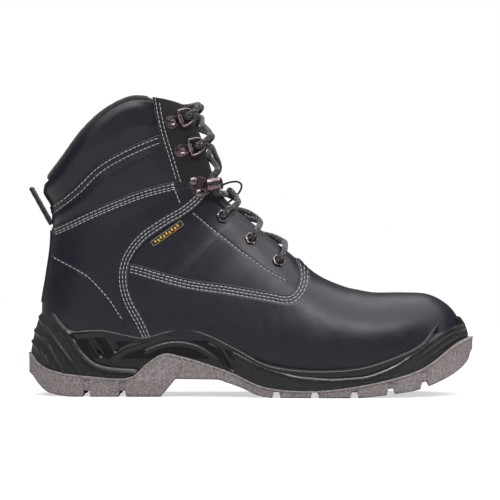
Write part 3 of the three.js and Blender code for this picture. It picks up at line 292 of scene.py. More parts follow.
OUTSOLE_TOP = side_line([(-165, 34), (-152.5, 29), (-144, 21.5), (-133, 17.3), (-110, 14.2), (-81.5, 13.6),
                         (-70.5, 22.5), (-59, 29.5), (-45.5, 27.5), (-12.5, 17), (9.5, 7.5), (44, 5), (78, 9),
                         (112, 17.5), (124, 23.5), (141, 35.5), (152, 40), (165, 42)])

# ---------------------------------------------------------------- meshes


def mesh_object(name, points, faces, materials, body="boot", smooth=True, attributes=None, face_slots=None):
    """A new piece from points in millimetres, riding on a body."""
    mesh = bpy.data.meshes.new(name)
    mesh.from_pydata((np.asarray(points) * MM).tolist(), [], [list(map(int, f)) for f in faces])
    for material in materials if isinstance(materials, (list, tuple)) else [materials]:
        mesh.materials.append(material)
    for key, values in (attributes or {}).items():
        attribute = mesh.attributes.new(key, "FLOAT", "POINT")
        attribute.data.foreach_set("value", np.asarray(values, np.float32))
    mesh.validate()
    if face_slots is not None:
        mesh.polygons.foreach_set("material_index", np.asarray(face_slots, np.int32))
    mesh.polygons.foreach_set("use_smooth", np.full(len(mesh.polygons), smooth))
    mesh.update()
    piece = bpy.data.objects.new(name, mesh)
    bpy.context.scene.collection.objects.link(piece)
    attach(piece, body)
    return piece


def outward_faces(points, faces):
    """Turns all the triangles or quads of a closed mesh so that they face out."""
    p = np.asarray(points)
    volume = 0.0
    for face in faces:
        for k in range(1, len(face) - 1):
            volume += np.dot(p[face[0]], np.cross(p[face[k]], p[face[k + 1]]))
    return faces if volume > 0 else [tuple(reversed(f)) for f in faces]


def grid_faces(rows, columns, wrap_rows=False, wrap_columns=False):
    """Quads of a grid of rows x columns points."""
    i = np.arange(rows if wrap_rows else rows - 1)
    j = np.arange(columns if wrap_columns else columns - 1)
    a = (i[:, None] * columns + j[None, :]).ravel()
    b = (i[:, None] * columns + (j[None, :] + 1) % columns).ravel()
    c = (((i[:, None] + 1) % rows) * columns + (j[None, :] + 1) % columns).ravel()
    d = (((i[:, None] + 1) % rows) * columns + j[None, :]).ravel()
    return np.stack([a, b, c, d], axis=1)


def closed_sheet(top, bottom):
    """Closed mesh between two grids of points of the same shape (rows, columns, 3)."""
    rows, columns = top.shape[:2]
    ring = np.concatenate([top, bottom[:, ::-1]], axis=1)
    points = ring.reshape(-1, 3)
    width = 2 * columns
    faces = grid_faces(rows, width, wrap_columns=True).tolist()
    for row in (0, rows - 1):
        for j in range(columns - 1):
            quad = [row * width + j, row * width + j + 1, row * width + width - 2 - j,
                    row * width + width - 1 - j]
            faces.append(quad if row else quad[::-1])
    return points, outward_faces(points, faces)


def between_faces(top, under, triangles):
    """Closed mesh between two faces that share their triangles."""
    count = len(top)
    sides = np.concatenate([triangles[:, [0, 1]], triangles[:, [1, 2]], triangles[:, [2, 0]]])
    _, index, uses = np.unique(np.sort(sides, axis=1), axis=0, return_index=True, return_counts=True)
    rim = sides[index[uses == 1]]
    faces = triangles.tolist() + (triangles[:, ::-1] + count).tolist()
    faces += np.stack([rim[:, 1], rim[:, 0], rim[:, 0] + count, rim[:, 1] + count], axis=1).tolist()
    return np.concatenate([top, under]), faces


class Patch:
    """Triangles on the leather face. Each vertex has a place, a normal and the distances from the seams."""

    def __init__(self, values, triangles):
        self.values = values
        self.triangles = triangles

    def split(self, key, level):
        value = self.values[key] - level
        value = np.where(np.abs(value) < 1e-6, 1e-6, value)
        positive = value > 0
        corner = positive[self.triangles]
        total = corner.sum(axis=1)
        crossing = (total == 1) | (total == 2)
        if not crossing.any():
            return self
        cut = self.triangles[crossing]
        odd = np.where((corner[crossing].sum(axis=1) == 1)[:, None], corner[crossing], ~corner[crossing])
        first = odd.argmax(axis=1)
        rows = np.arange(len(cut))
        a, b, c = (cut[rows, (first + k) % 3] for k in range(3))
        pairs = np.concatenate([np.stack([a, b], 1), np.stack([a, c], 1)])
        ordered = np.sort(pairs, axis=1)
        unique, back = np.unique(ordered, axis=0, return_inverse=True)
        back = back.ravel()
        v0, v1 = value[unique[:, 0]], value[unique[:, 1]]
        weight = v0 / (v0 - v1)
        base = len(value)
        values = {}
        for name, array in self.values.items():
            w = weight if array.ndim == 1 else weight[:, None]
            values[name] = np.concatenate([array, array[unique[:, 0]] * (1 - w) + array[unique[:, 1]] * w])
        ab, ac = base + back[: len(cut)], base + back[len(cut):]
        pieces = [np.stack([a, ab, ac], 1), np.stack([ab, b, c], 1), np.stack([ab, c, ac], 1)]
        return Patch(values, np.concatenate([self.triangles[~crossing], *pieces]))

    def keep(self, key, level):
        """The part where a value is above a level."""
        patch = self.split(key, level)
        middle = patch.values[key][patch.triangles].mean(axis=1)
        return Patch(patch.values, patch.triangles[middle > level])

    def compact(self):
        used, back = np.unique(self.triangles, return_inverse=True)
        return Patch({k: v[used] for k, v in self.values.items()}, back.reshape(-1, 3))


def leather_patch(step=1):
    """The whole leather face, closed at the back seam. A larger step makes it coarser."""
    lengthways, sideways = ALONG[::step], ROUND[::step]
    rows, columns = len(lengthways), len(sideways)
    u, around = (a.ravel() for a in np.meshgrid(lengthways, sideways, indexing="ij"))
    place = skin(u, around)
    normal = outward(u, around)
    quads = grid_faces(rows, columns)
    triangles = np.concatenate([quads[:, [0, 1, 2]], quads[:, [0, 2, 3]]])
    welded = np.arange(rows * columns)
    for i in range(rows):
        if lengthways[i] >= section(14):
            welded[i * columns + columns - 1] = i * columns
        if i == 0:
            welded[:columns] = 0
    triangles = welded[triangles]
    first, second, third = triangles.T
    sound = (first != second) & (second != third) & (first != third)
    side = place[:, [0, 2]]
    run = np.concatenate([[0], np.cumsum(np.linalg.norm(np.diff(RIDGE.at(ALONG), axis=0), axis=1))])
    base = np.interp(THROAT_START, ALONG, run) - np.interp(u, ALONG, run)
    beside = np.where(np.abs(around) < 0.5, np.abs(place[:, 1]) - throat_half(u), 60)
    outside = np.hypot(np.maximum(base, 0), np.maximum(beside, 0))
    throat = np.where((base > 0) & (beside > 0), outside, np.maximum(base, beside))
    values = {
        "place": place, "normal": normal, "u": u, "share": np.abs(around), "outer": -place[:, 1],
        "inner": place[:, 1],
        "collar": signed_distance(COLLAR_LINE, side), "collar_seam": signed_distance(COLLAR_SEAM, side),
        "ankle": signed_distance(ANKLE_SEAM, side), "facing": signed_distance(FACING_SEAM, side),
        "quarter": signed_distance(QUARTER_SEAM, side), "vamp": signed_distance(VAMP_SEAM, side),
        "counter": signed_distance(COUNTER_LINE, side), "eyestay": signed_distance(EYESTAY_LINE, side),
        "throat": np.clip(throat, -60, 60),
    }
    for key in ("collar", "collar_seam", "ankle", "facing", "quarter", "vamp"):
        values["not_" + key] = -values[key]
    return Patch(values, triangles[sound])


SKIN_PATCH = leather_patch()
EDGE_STEPS = (0.25, 0.6, 1.1)
PANEL_THICKNESS = 1.7


def panel(name, nodes, material, lift, edges, laps, rows=None, shape=None, lap=6.0):
    """A leather panel: cut and rounded at its edges, running on under its neighbours at its laps.

    edges and laps are names of distances. rows gives each edge's stitch rows as distances from
    that edge, and shape adds to the height of the face."""
    patch = SKIN_PATCH
    for key in laps:
        patch = patch.keep(key, -lap)
    for key in edges:
        patch = patch.keep(key, 0)
    patch = patch.compact()
    for key in edges:
        for level in EDGE_STEPS:
            patch = patch.split(key, level)
    for key, distances in (rows or {}).items():
        for distance in distances:
            for beside in (-0.6, 0, 0.6):
                patch = patch.split(key, distance + beside)
    patch = patch.compact()
    height = np.full(len(patch.values["u"]), float(lift))
    for key in edges:
        near = np.clip(patch.values[key] / EDGE_STEPS[-1], 0, 1)
        height -= 0.7 * (1 - np.sqrt(1 - (1 - near) ** 2))
    for key, distances in (rows or {}).items():
        for distance in distances:
            height -= 0.32 * np.exp(-((patch.values[key] - distance) / 0.6) ** 2)
    if shape is not None:
        height += shape(patch.values)
    top = patch.values["place"] + patch.values["normal"] * height[:, None]
    under = patch.values["place"] + patch.values["normal"] * (lift - PANEL_THICKNESS)
    triangles = patch.triangles
    points, faces = between_faces(top, under, triangles)
    middle = triangles[len(triangles) // 2]
    face_normal = np.cross(top[middle[1]] - top[middle[0]], top[middle[2]] - top[middle[0]])
    if face_normal @ patch.values["normal"][middle[0]] < 0:
        faces = [f[::-1] for f in faces]
    piece = mesh_object(name, points, faces, material)
    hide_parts(*nodes)
    return piece

# ---------------------------------------------------------------- materials


class Look:
    """A procedural material under construction."""

    def __init__(self, name, **sockets):
        self.material = bpy.data.materials.new(name)
        self.material.use_nodes = True
        self.tree = self.material.node_tree
        self.shader = self.tree.nodes["Principled BSDF"]
        for key, value in sockets.items():
            self.shader.inputs[key.replace("_", " ")].default_value = value
        self.place = self.node("ShaderNodeTexCoord").outputs["Object"]
        self.last_bump = None

    def node(self, kind, links=None, **settings):
        made = self.tree.nodes.new(kind)
        for key, value in settings.items():
            if key in made.inputs:
                made.inputs[key].default_value = value
            else:
                setattr(made, key, value)
        for key, source in (links or {}).items():
            self.tree.links.new(source, made.inputs[key])
        return made

    def noise(self, scale, detail=3.0, roughness=0.5, stretch=None):
        source = self.place
        if stretch:
            source = self.node("ShaderNodeMapping", {"Vector": source}, Scale=stretch).outputs["Vector"]
        return self.node("ShaderNodeTexNoise", {"Vector": source}, Scale=scale, Detail=detail,
                         Roughness=roughness).outputs["Fac"]

    def cells(self, scale, feature="F1"):
        return self.node("ShaderNodeTexVoronoi", {"Vector": self.place}, feature=feature,
                         Scale=scale).outputs["Distance"]

    def spread(self, source, low, high, to_low=0.0, to_high=1.0):
        made = self.node("ShaderNodeMapRange", {"Value": source})
        for key, value in (("From Min", low), ("From Max", high), ("To Min", to_low), ("To Max", to_high)):
            made.inputs[key].default_value = value
        return made.outputs["Result"]

    def math(self, operation, a, b=None):
        made = self.node("ShaderNodeMath", operation=operation)
        for socket, value in zip(made.inputs, (a, b)):
            if value is None:
                continue
            if isinstance(value, (int, float)):
                socket.default_value = value
            else:
                self.tree.links.new(value, socket)
        return made.outputs["Value"]

    def attribute(self, name):
        return self.node("ShaderNodeAttribute", attribute_name=name).outputs["Fac"]

    def colour(self, factor, first, second):
        ramp = self.node("ShaderNodeValToRGB", {"Fac": factor})
        ramp.color_ramp.elements[0].color = (*first, 1)
        ramp.color_ramp.elements[1].color = (*second, 1)
        self.tree.links.new(ramp.outputs["Color"], self.shader.inputs["Base Color"])

    def rough(self, source):
        self.tree.links.new(source, self.shader.inputs["Roughness"])

    def bump(self, height, distance, strength=1.0):
        made = self.node("ShaderNodeBump", {"Height": height}, Distance=distance, Strength=strength)
        if self.last_bump is not None:
            self.tree.links.new(self.last_bump, made.inputs["Normal"])
        self.last_bump = made.outputs["Normal"]
        self.tree.links.new(self.last_bump, self.shader.inputs["Normal"])


def leather_look():
    look = Look("smooth_leather", Roughness=0.38, Coat_Weight=0.10, Coat_Roughness=0.30)
    look.shader.inputs["Specular IOR Level"].default_value = 0.32
    broad = look.noise(35, 4)
    look.colour(broad, (0.0058, 0.0050, 0.0100), (0.0108, 0.0095, 0.0170))
    look.rough(look.spread(look.noise(160, 4), 0.3, 0.7, 0.33, 0.44))
    look.bump(look.cells(1500), 0.00012, 0.5)
    look.bump(look.noise(420, 5, 0.6), 0.00010, 0.45)
    look.bump(look.noise(60, 3), 0.0004, 0.25)
    return look.material


def nubuck_look():
    look = Look("nubuck", Roughness=0.93, Sheen_Weight=0.25, Sheen_Roughness=0.5)
    look.shader.inputs["Specular IOR Level"].default_value = 0.2
    look.colour(look.noise(300, 5, 0.7), (0.0045, 0.0045, 0.0050), (0.0125, 0.0120, 0.0125))
    look.bump(look.noise(1800, 3, 0.6), 0.00015, 0.6)
    return look.material


def thread_look():
    look = Look("thread", Roughness=0.62, Sheen_Weight=0.2)
    look.colour(look.noise(900, 2), (0.22, 0.22, 0.235), (0.44, 0.44, 0.46))
    look.bump(look.noise(2600, 2), 0.0001, 0.5)
    return look.material


LEATHER_LOOK = leather_look()
NUBUCK_LOOK = nubuck_look()
THREAD_LOOK = thread_look()

# ---------------------------------------------------------------- panels of the upper


def waves(values, size, seed):
    """Smooth irregular waviness, from -1 to 1."""
    place = values["place"] / size
    total = np.zeros(len(place))
    state = np.random.RandomState(seed)
    for _ in range(7):
        direction = unit(state.normal(size=3)) * state.uniform(0.7, 1.5)
        total += np.sin(place @ direction * 2 * math.pi + state.uniform(0, 6.3))
    return total / 7


def vamp_shape(values):
    """Flex creases across the vamp, behind the toe cap, and the slight step of the cap's rear edge."""
    x, z = values["place"][:, 0], values["place"][:, 2]
    lean = x + 0.35 * (z - 55)
    zone = smoothstep(lean, -34, -8) * (1 - smoothstep(lean, 32, 56)) * smoothstep(z, 30, 46)
    wander = waves(values, 42, 5)
    crease = np.zeros(len(x))
    for centre, width, depth in ((-20, 2.9, 0.10), (-7, 2.4, 0.15), (5, 2.8, 0.18), (17, 2.3, 0.14),
                                 (30, 2.8, 0.10)):
        crease += depth * np.exp(-((lean + 5.5 * wander - centre) / width) ** 2)
    cap = 0.45 * smoothstep(x, 66, 74)
    return 0.22 * waves(values, 26, 3) * zone - crease * zone + cap + 0.12 * waves(values, 60, 9)


def soft_shape(amount, size, seed):
    return lambda values: amount * waves(values, size, seed)


def collar_shape(values):
    swell = 2.2 * smoothstep(values["not_collar_seam"], 0.5, 11) * smoothstep(values["collar"], 1, 9)
    swell = (swell + 0.3 * waves(values, 24, 12)) * smoothstep(values["facing"], 0, 12)
    return swell


def ankle_shape(values):
    swell = 1.3 * smoothstep(values["collar_seam"], 5.8, 12) * smoothstep(values["not_ankle"], 0, 7)
    return (swell + 0.25 * waves(values, 30, 14)) * smoothstep(values["facing"], 0, 12)


SKIN_PATCH.values["rim"] = SKIN_PATCH.values["collar"] - 3.0
PANELS = {}
PANELS["collar_panel"] = panel("collar_panel", ["collar_panel_outer", "collar_panel_inner"], LEATHER_LOOK,
                               -0.5,
                               edges=["rim"], laps=["not_collar_seam", "facing"], shape=collar_shape)
PANELS["ankle_panel"] = panel("ankle_panel", ["ankle_panel_outer", "ankle_panel_inner"], LEATHER_LOOK, 0.5,
                              edges=["collar_seam"], laps=["not_ankle", "facing"],
                              rows={"collar_seam": (2, 5.5)},
                              shape=ankle_shape)
PANELS["vamp"] = panel("vamp", ["vamp"], LEATHER_LOOK, 1.0, edges=["vamp", "throat"], laps=["not_quarter"],
                       rows={"vamp": (2, 4, 6)}, shape=vamp_shape)
for side in SIDES:
    PANELS["facing_" + side] = panel(
        "facing_" + side, ["facing_" + side], NUBUCK_LOOK, 1.5,
        edges=[side, "not_facing", "collar", "throat"],
        laps=["not_ankle"], rows={"not_facing": (1.6, 4)}, shape=soft_shape(0.15, 20, 21))
    PANELS["front_quarter_" + side] = panel(
        "front_quarter_" + side, ["front_quarter_" + side], LEATHER_LOOK, 0.0,
        edges=[side, "throat", "ankle"],
        laps=["not_vamp", "not_quarter"], rows={"throat": (2.2, 4.4), "eyestay": (0,)},
        shape=soft_shape(0.22, 32, 23))
    PANELS["rear_quarter_" + side] = panel(
        "rear_quarter_" + side, ["rear_quarter_" + side], LEATHER_LOOK, 1.5,
        edges=[side, "quarter", "ankle"], laps=[],
        rows={"quarter": (1.7, 3.8, 5.9), "ankle": (2, 4, 5.5), "counter": (0,)},
        shape=soft_shape(0.3, 40, 25))


# ---------------------------------------------------------------- stitching


def panel_tree():
    """One search tree over all the panels, and the panel of each of its faces."""
    points, faces, owner = [], [], []
    for name, piece in PANELS.items():
        base = len(points)
        points += [v.co / MM for v in piece.data.vertices]
        faces += [[base + k for k in polygon.vertices] for polygon in piece.data.polygons]
        owner += [name] * len(piece.data.polygons)
    return BVHTree.FromPolygons(points, faces), owner


PANEL_TREE, PANEL_OWNER = panel_tree()
FAR_Y = 200


def on_leather(x, z, sign):
    """The leather's point, normal and panel at (x, z), seen from one side of the boot."""
    place, normal, face, _ = PANEL_TREE.ray_cast(Vector((x, sign * FAR_Y, z)), Vector((0, -sign, 0)))
    if place is None:
        return None
    return np.array(place), np.array(normal), PANEL_OWNER[face]


def capsule(sides=6):
    """Points and faces of a rounded stick of length 1 and diameter 1 along X."""
    profile = [(-0.5, 0.0), (-0.44, 0.34), (-0.25, 0.5), (0.25, 0.5), (0.44, 0.34), (0.5, 0.0)]
    points, faces = [], []
    for x, r in profile:
        for k in range(sides):
            angle = 2 * math.pi * k / sides
            points.append((x, r * math.cos(angle), r * math.sin(angle)))
    count = len(profile)
    for i in range(count - 1):
        for k in range(sides):
            a, b = i * sides + k, i * sides + (k + 1) % sides
            faces.append((a, b, b + sides, a + sides))
    return np.array(points), faces


STICK_POINTS, STICK_FACES = capsule()
STITCH_PITCH = 3.1
STITCH_LENGTH = 2.5
THREAD_WIDTH = 0.62


def stitch_row(line, sign, owner):
    """Stitches along a side-view line, as lists of points and faces."""
    spots = []
    for x, z in resampled(line, STITCH_PITCH):
        found = on_leather(x, z, sign)
        if found is not None and found[2] == owner:
            spots.append(found[:2])
        else:
            spots.append(None)
    points, faces = [], []
    for before, after in zip(spots[:-1], spots[1:]):
        if before is None or after is None:
            continue
        start, end = before[0], after[0]
        gap = np.linalg.norm(end - start)
        if gap > 3 * STITCH_PITCH:
            continue
        along = unit(end - start)
        out = unit(before[1] + after[1])
        across = unit(np.cross(out, along))
        out = np.cross(along, across)
        length = STITCH_LENGTH * gap / STITCH_PITCH
        middle = (start + end) / 2 + out * 0.12
        base = len(points)
        body = middle + STICK_POINTS[:, :1] * length * along + STICK_POINTS[:, 1:2] * THREAD_WIDTH * across
        body = body + STICK_POINTS[:, 2:] * 0.62 * THREAD_WIDTH * out
        points += body.tolist()
        faces += [[base + k for k in face] for face in STICK_FACES]
    return points, faces


def stitching(name, rows):
    """One piece with the stitches of several rows, each a line, a side and the panel that it sews."""
    points, faces = [], []
    for line, sign, owner in rows:
        more, more_faces = stitch_row(line, sign, owner)
        base = len(points)
        points += more
        faces += [[base + k for k in face] for face in more_faces]
    if points:
        mesh_object(name, points, faces, THREAD_LOOK)


SHORT_LINE = np.array([(-53, 146.3), (-51.5, 141.5), (-49.5, 136.5), (-47.6, 131.8)])
for side, sign in SIDES.items():
    stitching("stitching_" + side, [
        *[(shifted(COLLAR_SEAM, d), sign, "ankle_panel") for d in (2, 5.5)],
        *[(shifted(ANKLE_SEAM, d), sign, "rear_quarter_" + side) for d in (2, 4, 5.5)],
        *[(shifted(QUARTER_SEAM, d), sign, "rear_quarter_" + side) for d in (1.7, 3.8, 5.9)],
        *[(shifted(VAMP_SEAM, d), sign, "vamp") for d in (2, 4, 6)],
        *[(shifted(FACING_SEAM, -d), sign, "facing_" + side) for d in (1.6, 4)],
        (COUNTER_LINE, sign, "rear_quarter_" + side),
        (SHORT_LINE, sign, "rear_quarter_" + side),
        (EYESTAY_LINE, sign, "front_quarter_" + side),
    ])


# ---------------------------------------------------------------- sole

TIP = 153
OUTER_EDGE = [(-150, 14), (-140, 27), (-120, 35), (-90, 36), (-50, 37), (-10, 42), (30, 50), (60, 52),
              (90, 49), (120, 39), (140, 23.5), (149.5, 11)]
INNER_EDGE = [(149.5, 14), (141, 26), (123, 41), (100, 49), (75, 52), (60, 50), (30, 43), (-10, 34),
              (-50, 32), (-90, 34), (-120, 34), (-140, 27), (-150, 14)]
TREAD = np.vstack([
    side_line([(-175, 22), (-151, 14), (-146, 8), (-141, 3.6), (-134, 1.4), (-124, 0)], 40),
    [(-61, 0), (-50.6, 12.2)],
    side_line([(-21.4, 12), (-6, 6.6), (5, 1.6), (14, 0)], 20),
    side_line([(74, 0), (99, 2.6), (118, 6), (139, 15), (149, 23), (153, 31), (175, 39)], 40),
])
GROOVES = [-111.5, -87, 17.8, 44.1, 71.3, 96.2, 119.4]
GROOVE_DEPTH = 4.0
GROOVE_FLOOR = 1.85             # half widths of a groove, at its floor and at the tread
GROOVE_MOUTH = 2.8


class Outline:
    """The sole's plan, as places and normals on each side at given stations along X."""

    def __init__(self):
        points = [(x, -y, 0) for x, y in OUTER_EDGE] + [(TIP, 2, 0)]
        points += [(x, y, 0) for x, y in INNER_EDGE] + [(-TIP, 0, 0)]
        curve = Curve(points, closed=True).at(np.arange(8000) / 8000)[:, :2]
        tangent = unit(np.roll(curve, -1, axis=0) - np.roll(curve, 1, axis=0))
        normal = np.stack([tangent[:, 1], -tangent[:, 0]], axis=1)
        start = int(curve[:, 0].argmin())
        curve, normal = np.roll(curve, -start, axis=0), np.roll(normal, -start, axis=0)
        toe = int(curve[:, 0].argmax())
        self.low, self.high = curve[:, 0].min(), curve[:, 0].max()
        self.halves = {-1: (curve[: toe + 1], normal[: toe + 1]),
                       1: (np.vstack([curve[toe:], curve[:1]])[::-1],
                           np.vstack([normal[toe:], normal[:1]])[::-1])}

    def side(self, sign, stations):
        curve, normal = self.halves[sign]
        y = np.interp(stations, curve[:, 0], curve[:, 1])
        n = unit(np.stack([np.interp(stations, curve[:, 0], normal[:, k]) for k in (0, 1)], axis=1))
        return np.stack([stations, y], axis=1), n


OUTLINE = Outline()


def sole_stations():
    turn = np.linspace(0, math.pi, 560)
    stations = OUTLINE.low + (OUTLINE.high - OUTLINE.low) * (1 - np.cos(turn)) / 2
    extra = [x + k * w for x in GROOVES for k in (-1, 1) for w in (GROOVE_FLOOR, GROOVE_MOUTH,
                                                                   GROOVE_MOUTH + 0.5)]
    extra += list(np.arange(-100, 100, 0.6))
    return np.unique(np.round(np.concatenate([stations, extra, [-61, -50.6, -21.4]]), 4))


STATIONS = sole_stations()


def height_of(line, x):
    order = np.argsort(line[:, 0])
    return np.interp(x, line[order, 0], line[order, 1])


def groove_share(x):
    """1 at the floor of a groove, 0 on the tread."""
    share = np.zeros(np.shape(x))
    for middle in GROOVES:
        here = (GROOVE_MOUTH - np.abs(x - middle)) / (GROOVE_MOUTH - GROOVE_FLOOR)
        share = np.maximum(share, np.clip(here, 0, 1))
    return share


def drawn_in(sign, inset, pull):
    """Plan points of every station on one side, moved in by inset; pull draws the ends in further."""
    place, normal = OUTLINE.side(sign, STATIONS)
    end = smoothstep(np.abs(place[:, 0]), 0.72 * TIP, 0.98 * TIP)
    moved = place - normal * np.ravel(inset)[:, None]
    moved[:, 0] -= np.sign(place[:, 0]) * pull * end
    return moved


def loft_rings(name, rings, material, attributes=None):
    """Closed piece through rings of equal length, the first and last drawn to a line."""
    rings = np.asarray(rings)
    rows, columns = rings.shape[:2]
    points = rings.reshape(-1, 3)
    faces = outward_faces(points, grid_faces(rows, columns, wrap_columns=True).tolist())
    piece = mesh_object(name, points, faces, material, attributes=attributes)
    tidy_mesh(piece)
    return piece


def tidy_mesh(piece, distance=1e-5):
    work = bmesh.new()
    work.from_mesh(piece.data)
    bmesh.ops.remove_doubles(work, verts=work.verts, dist=distance)
    bmesh.ops.dissolve_degenerate(work, edges=work.edges, dist=distance / 2)
    open_edges = [edge for edge in work.edges if len(edge.link_faces) == 1]
    if open_edges:
        bmesh.ops.holes_fill(work, edges=open_edges, sides=0)
    bmesh.ops.recalc_face_normals(work, faces=work.faces)
    work.to_mesh(piece.data)
    work.free()
    piece.data.polygons.foreach_set("use_smooth", np.ones(len(piece.data.polygons), bool))


def bumps(x, z, lines):
    """Rounded ridges along side-view lines, each with a height and a half width; grooves are negative."""
    total = np.zeros(len(x))
    points = np.stack([x, z], axis=1)
    for line, height, width in lines:
        best = np.full(len(x), 1e9)
        for k in range(len(line) - 1):
            along = line[k + 1] - line[k]
            share = np.clip(((points - line[k]) @ along) / max(along @ along, 1e-12), 0, 1)
            distance = np.linalg.norm(points - (line[k] + share[:, None] * along), axis=1)
            best = np.minimum(best, distance)
        total += height * np.exp(-(best / width) ** 2)
    return total


ARCH_RIBS = [(-50, 13.5, -46, 25), (-41.5, 13, -38.5, 24.5), (-34.5, 13, -32.5, 22), (-28, 13, -27, 20),
             (-21.4, 12.5, -21, 17.5), (-16, 10.5, -16, 15.5)]


def build_outsole():
    """Outsole: wall with a lip on top, a recess above each groove, ribs in the arch and a grooved tread."""
    x = STATIONS
    share = groove_share(x)
    tread = height_of(TREAD, x) + GROOVE_DEPTH * share
    top = height_of(OUTSOLE_TOP, x)
    rows = 34
    ribs = [(np.array([(a, b), (c, d)]), 1.1, 0.9) for a, b, c, d in ARCH_RIBS]

    def wall(sign):
        levels = []
        for k in range(rows + 1):
            w = k / rows
            z = tread + (top - tread) * w
            below = np.clip((12 - z) / 13, 0, 1) * 1.5
            rounding = 0.7 * (1 - smoothstep(z - tread, 0, 1.2)) ** 2
            lip = -0.55 * smoothstep(z, top - 1.7, top - 1.2) * (1 - smoothstep(z, top - 0.5, top))
            upright = np.ones(len(x))
            for middle in GROOVES:
                upright -= 1 - smoothstep(np.abs(x - middle), 1.7, 2.2)
            recess = 0.9 * (1 - upright) * (1 - smoothstep(z, top - 3, top - 1.9))
            rib = -bumps(x, z, ribs)
            place = drawn_in(sign, below + rounding + lip + recess + rib, 0)
            levels.append(np.column_stack([place, z]))
        return levels

    outer, inner = wall(-1), wall(1)
    across = 26
    bottom = []
    for k in range(1, across):
        w = k / across
        edge = min(k, across - k)
        middle = outer[0] * (1 - w) + inner[0] * w
        cup = 1.3 * (1 - share) * smoothstep(edge / across, 0.36,
                                             0.40) * (height_of(TREAD, x) < 8) * (np.abs(x + 36) > 27)
        middle[:, 2] = tread + cup
        bottom.append(middle)
    under = []
    core = np.minimum(top - 1.2,
                      height_of(side_line([(-165, 12), (-76, 12), (-50, 17), (-24, 16.5), (5, 6), (44, 4.6),
                                                      (78, 6.5), (112, 11), (139, 22), (165, 38)]), x))
    for sign in (1, -1):
        rim = np.column_stack([drawn_in(sign, 3.6, 0), top - 0.3])
        floor = np.column_stack([drawn_in(sign, 4.0, 0), np.maximum(core, tread + 0.6)])
        under.append((rim, floor))
    ring = outer[::-1] + bottom + inner + [under[0][0], under[0][1], under[1][1], under[1][0]]
    piece = loft_rings("outsole", np.stack(ring, axis=1), OUTSOLE_LOOK)
    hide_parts("outsole")


MIDSOLE_LEVELS = np.array([(0, 1, 0), (26, 1, 0.2), (42, 1.8, 2.4), (50, 2.4, 4.2), (62, 3.4, 8.4)])
HEEL_RIDGES = [
    [(-150, 62), (-143.5, 58.7), (-138.6, 53.8), (-132.3, 48.6), (-126, 44), (-121.4, 37.7), (-116.8, 30.9),
     (-111.1, 24.6), (-105.4, 20.6), (-98, 18.3), (-89.4, 17.2), (-78, 16.6)],
    [(-156, 56), (-147.1, 49.7), (-142, 45.7), (-135.1, 38.9), (-129.4, 32.6), (-123.6, 25.7), (-118, 18.3),
     (-115, 14.5)],
    [(-156, 46), (-148.8, 42.3), (-143.7, 38.9), (-138, 32.6), (-133.4, 25.7), (-129.4, 20), (-127.1, 16)],
    [(-156, 38), (-150.6, 35.5), (-146.6, 32), (-140.8, 26.3), (-138, 21)],
]
ARCH_LINE = [(-70.7, 31.3), (-62.1, 34.7), (-54.6, 36.4), (-47.7, 36.7), (-40.9, 35.6), (-33.5, 33),
             (-24.9, 27.3),
             (-19.2, 22.7), (-12, 17)]
ARCH_GROOVE = [(-27.7, 37.6), (-22, 34.7), (-16.3, 27.3), (-11.2, 18.7)]
SWOOSH = [(-92, 28), (-84, 33), (-76, 35.5), (-68, 38), (-60, 41), (-50, 42)]
FOREFOOT_RIDGE = [(-10.8, 30.4), (-1.7, 25.2), (9.8, 20.1), (21.3, 16.6), (32.6, 13.7), (44.1, 12.6),
                  (55.5, 12),
                  (66.9, 12.6), (78.5, 13.7), (89.9, 17.2), (101.3, 22.4), (110.4, 28.6), (118, 34),
                  (128, 40), (140, 46),
                  (156, 50)]
TOE_RIDGES = [[(118, 29), (128, 35.5), (138, 41), (148, 45), (156, 46.5)],
              [(124, 28), (133, 34), (142, 38.5), (156, 42)]]
SLOTS = [((-108.6, 38.6), (-101.4, 28.4)), ((-97.6, 41), (-91.6, 32.4))]


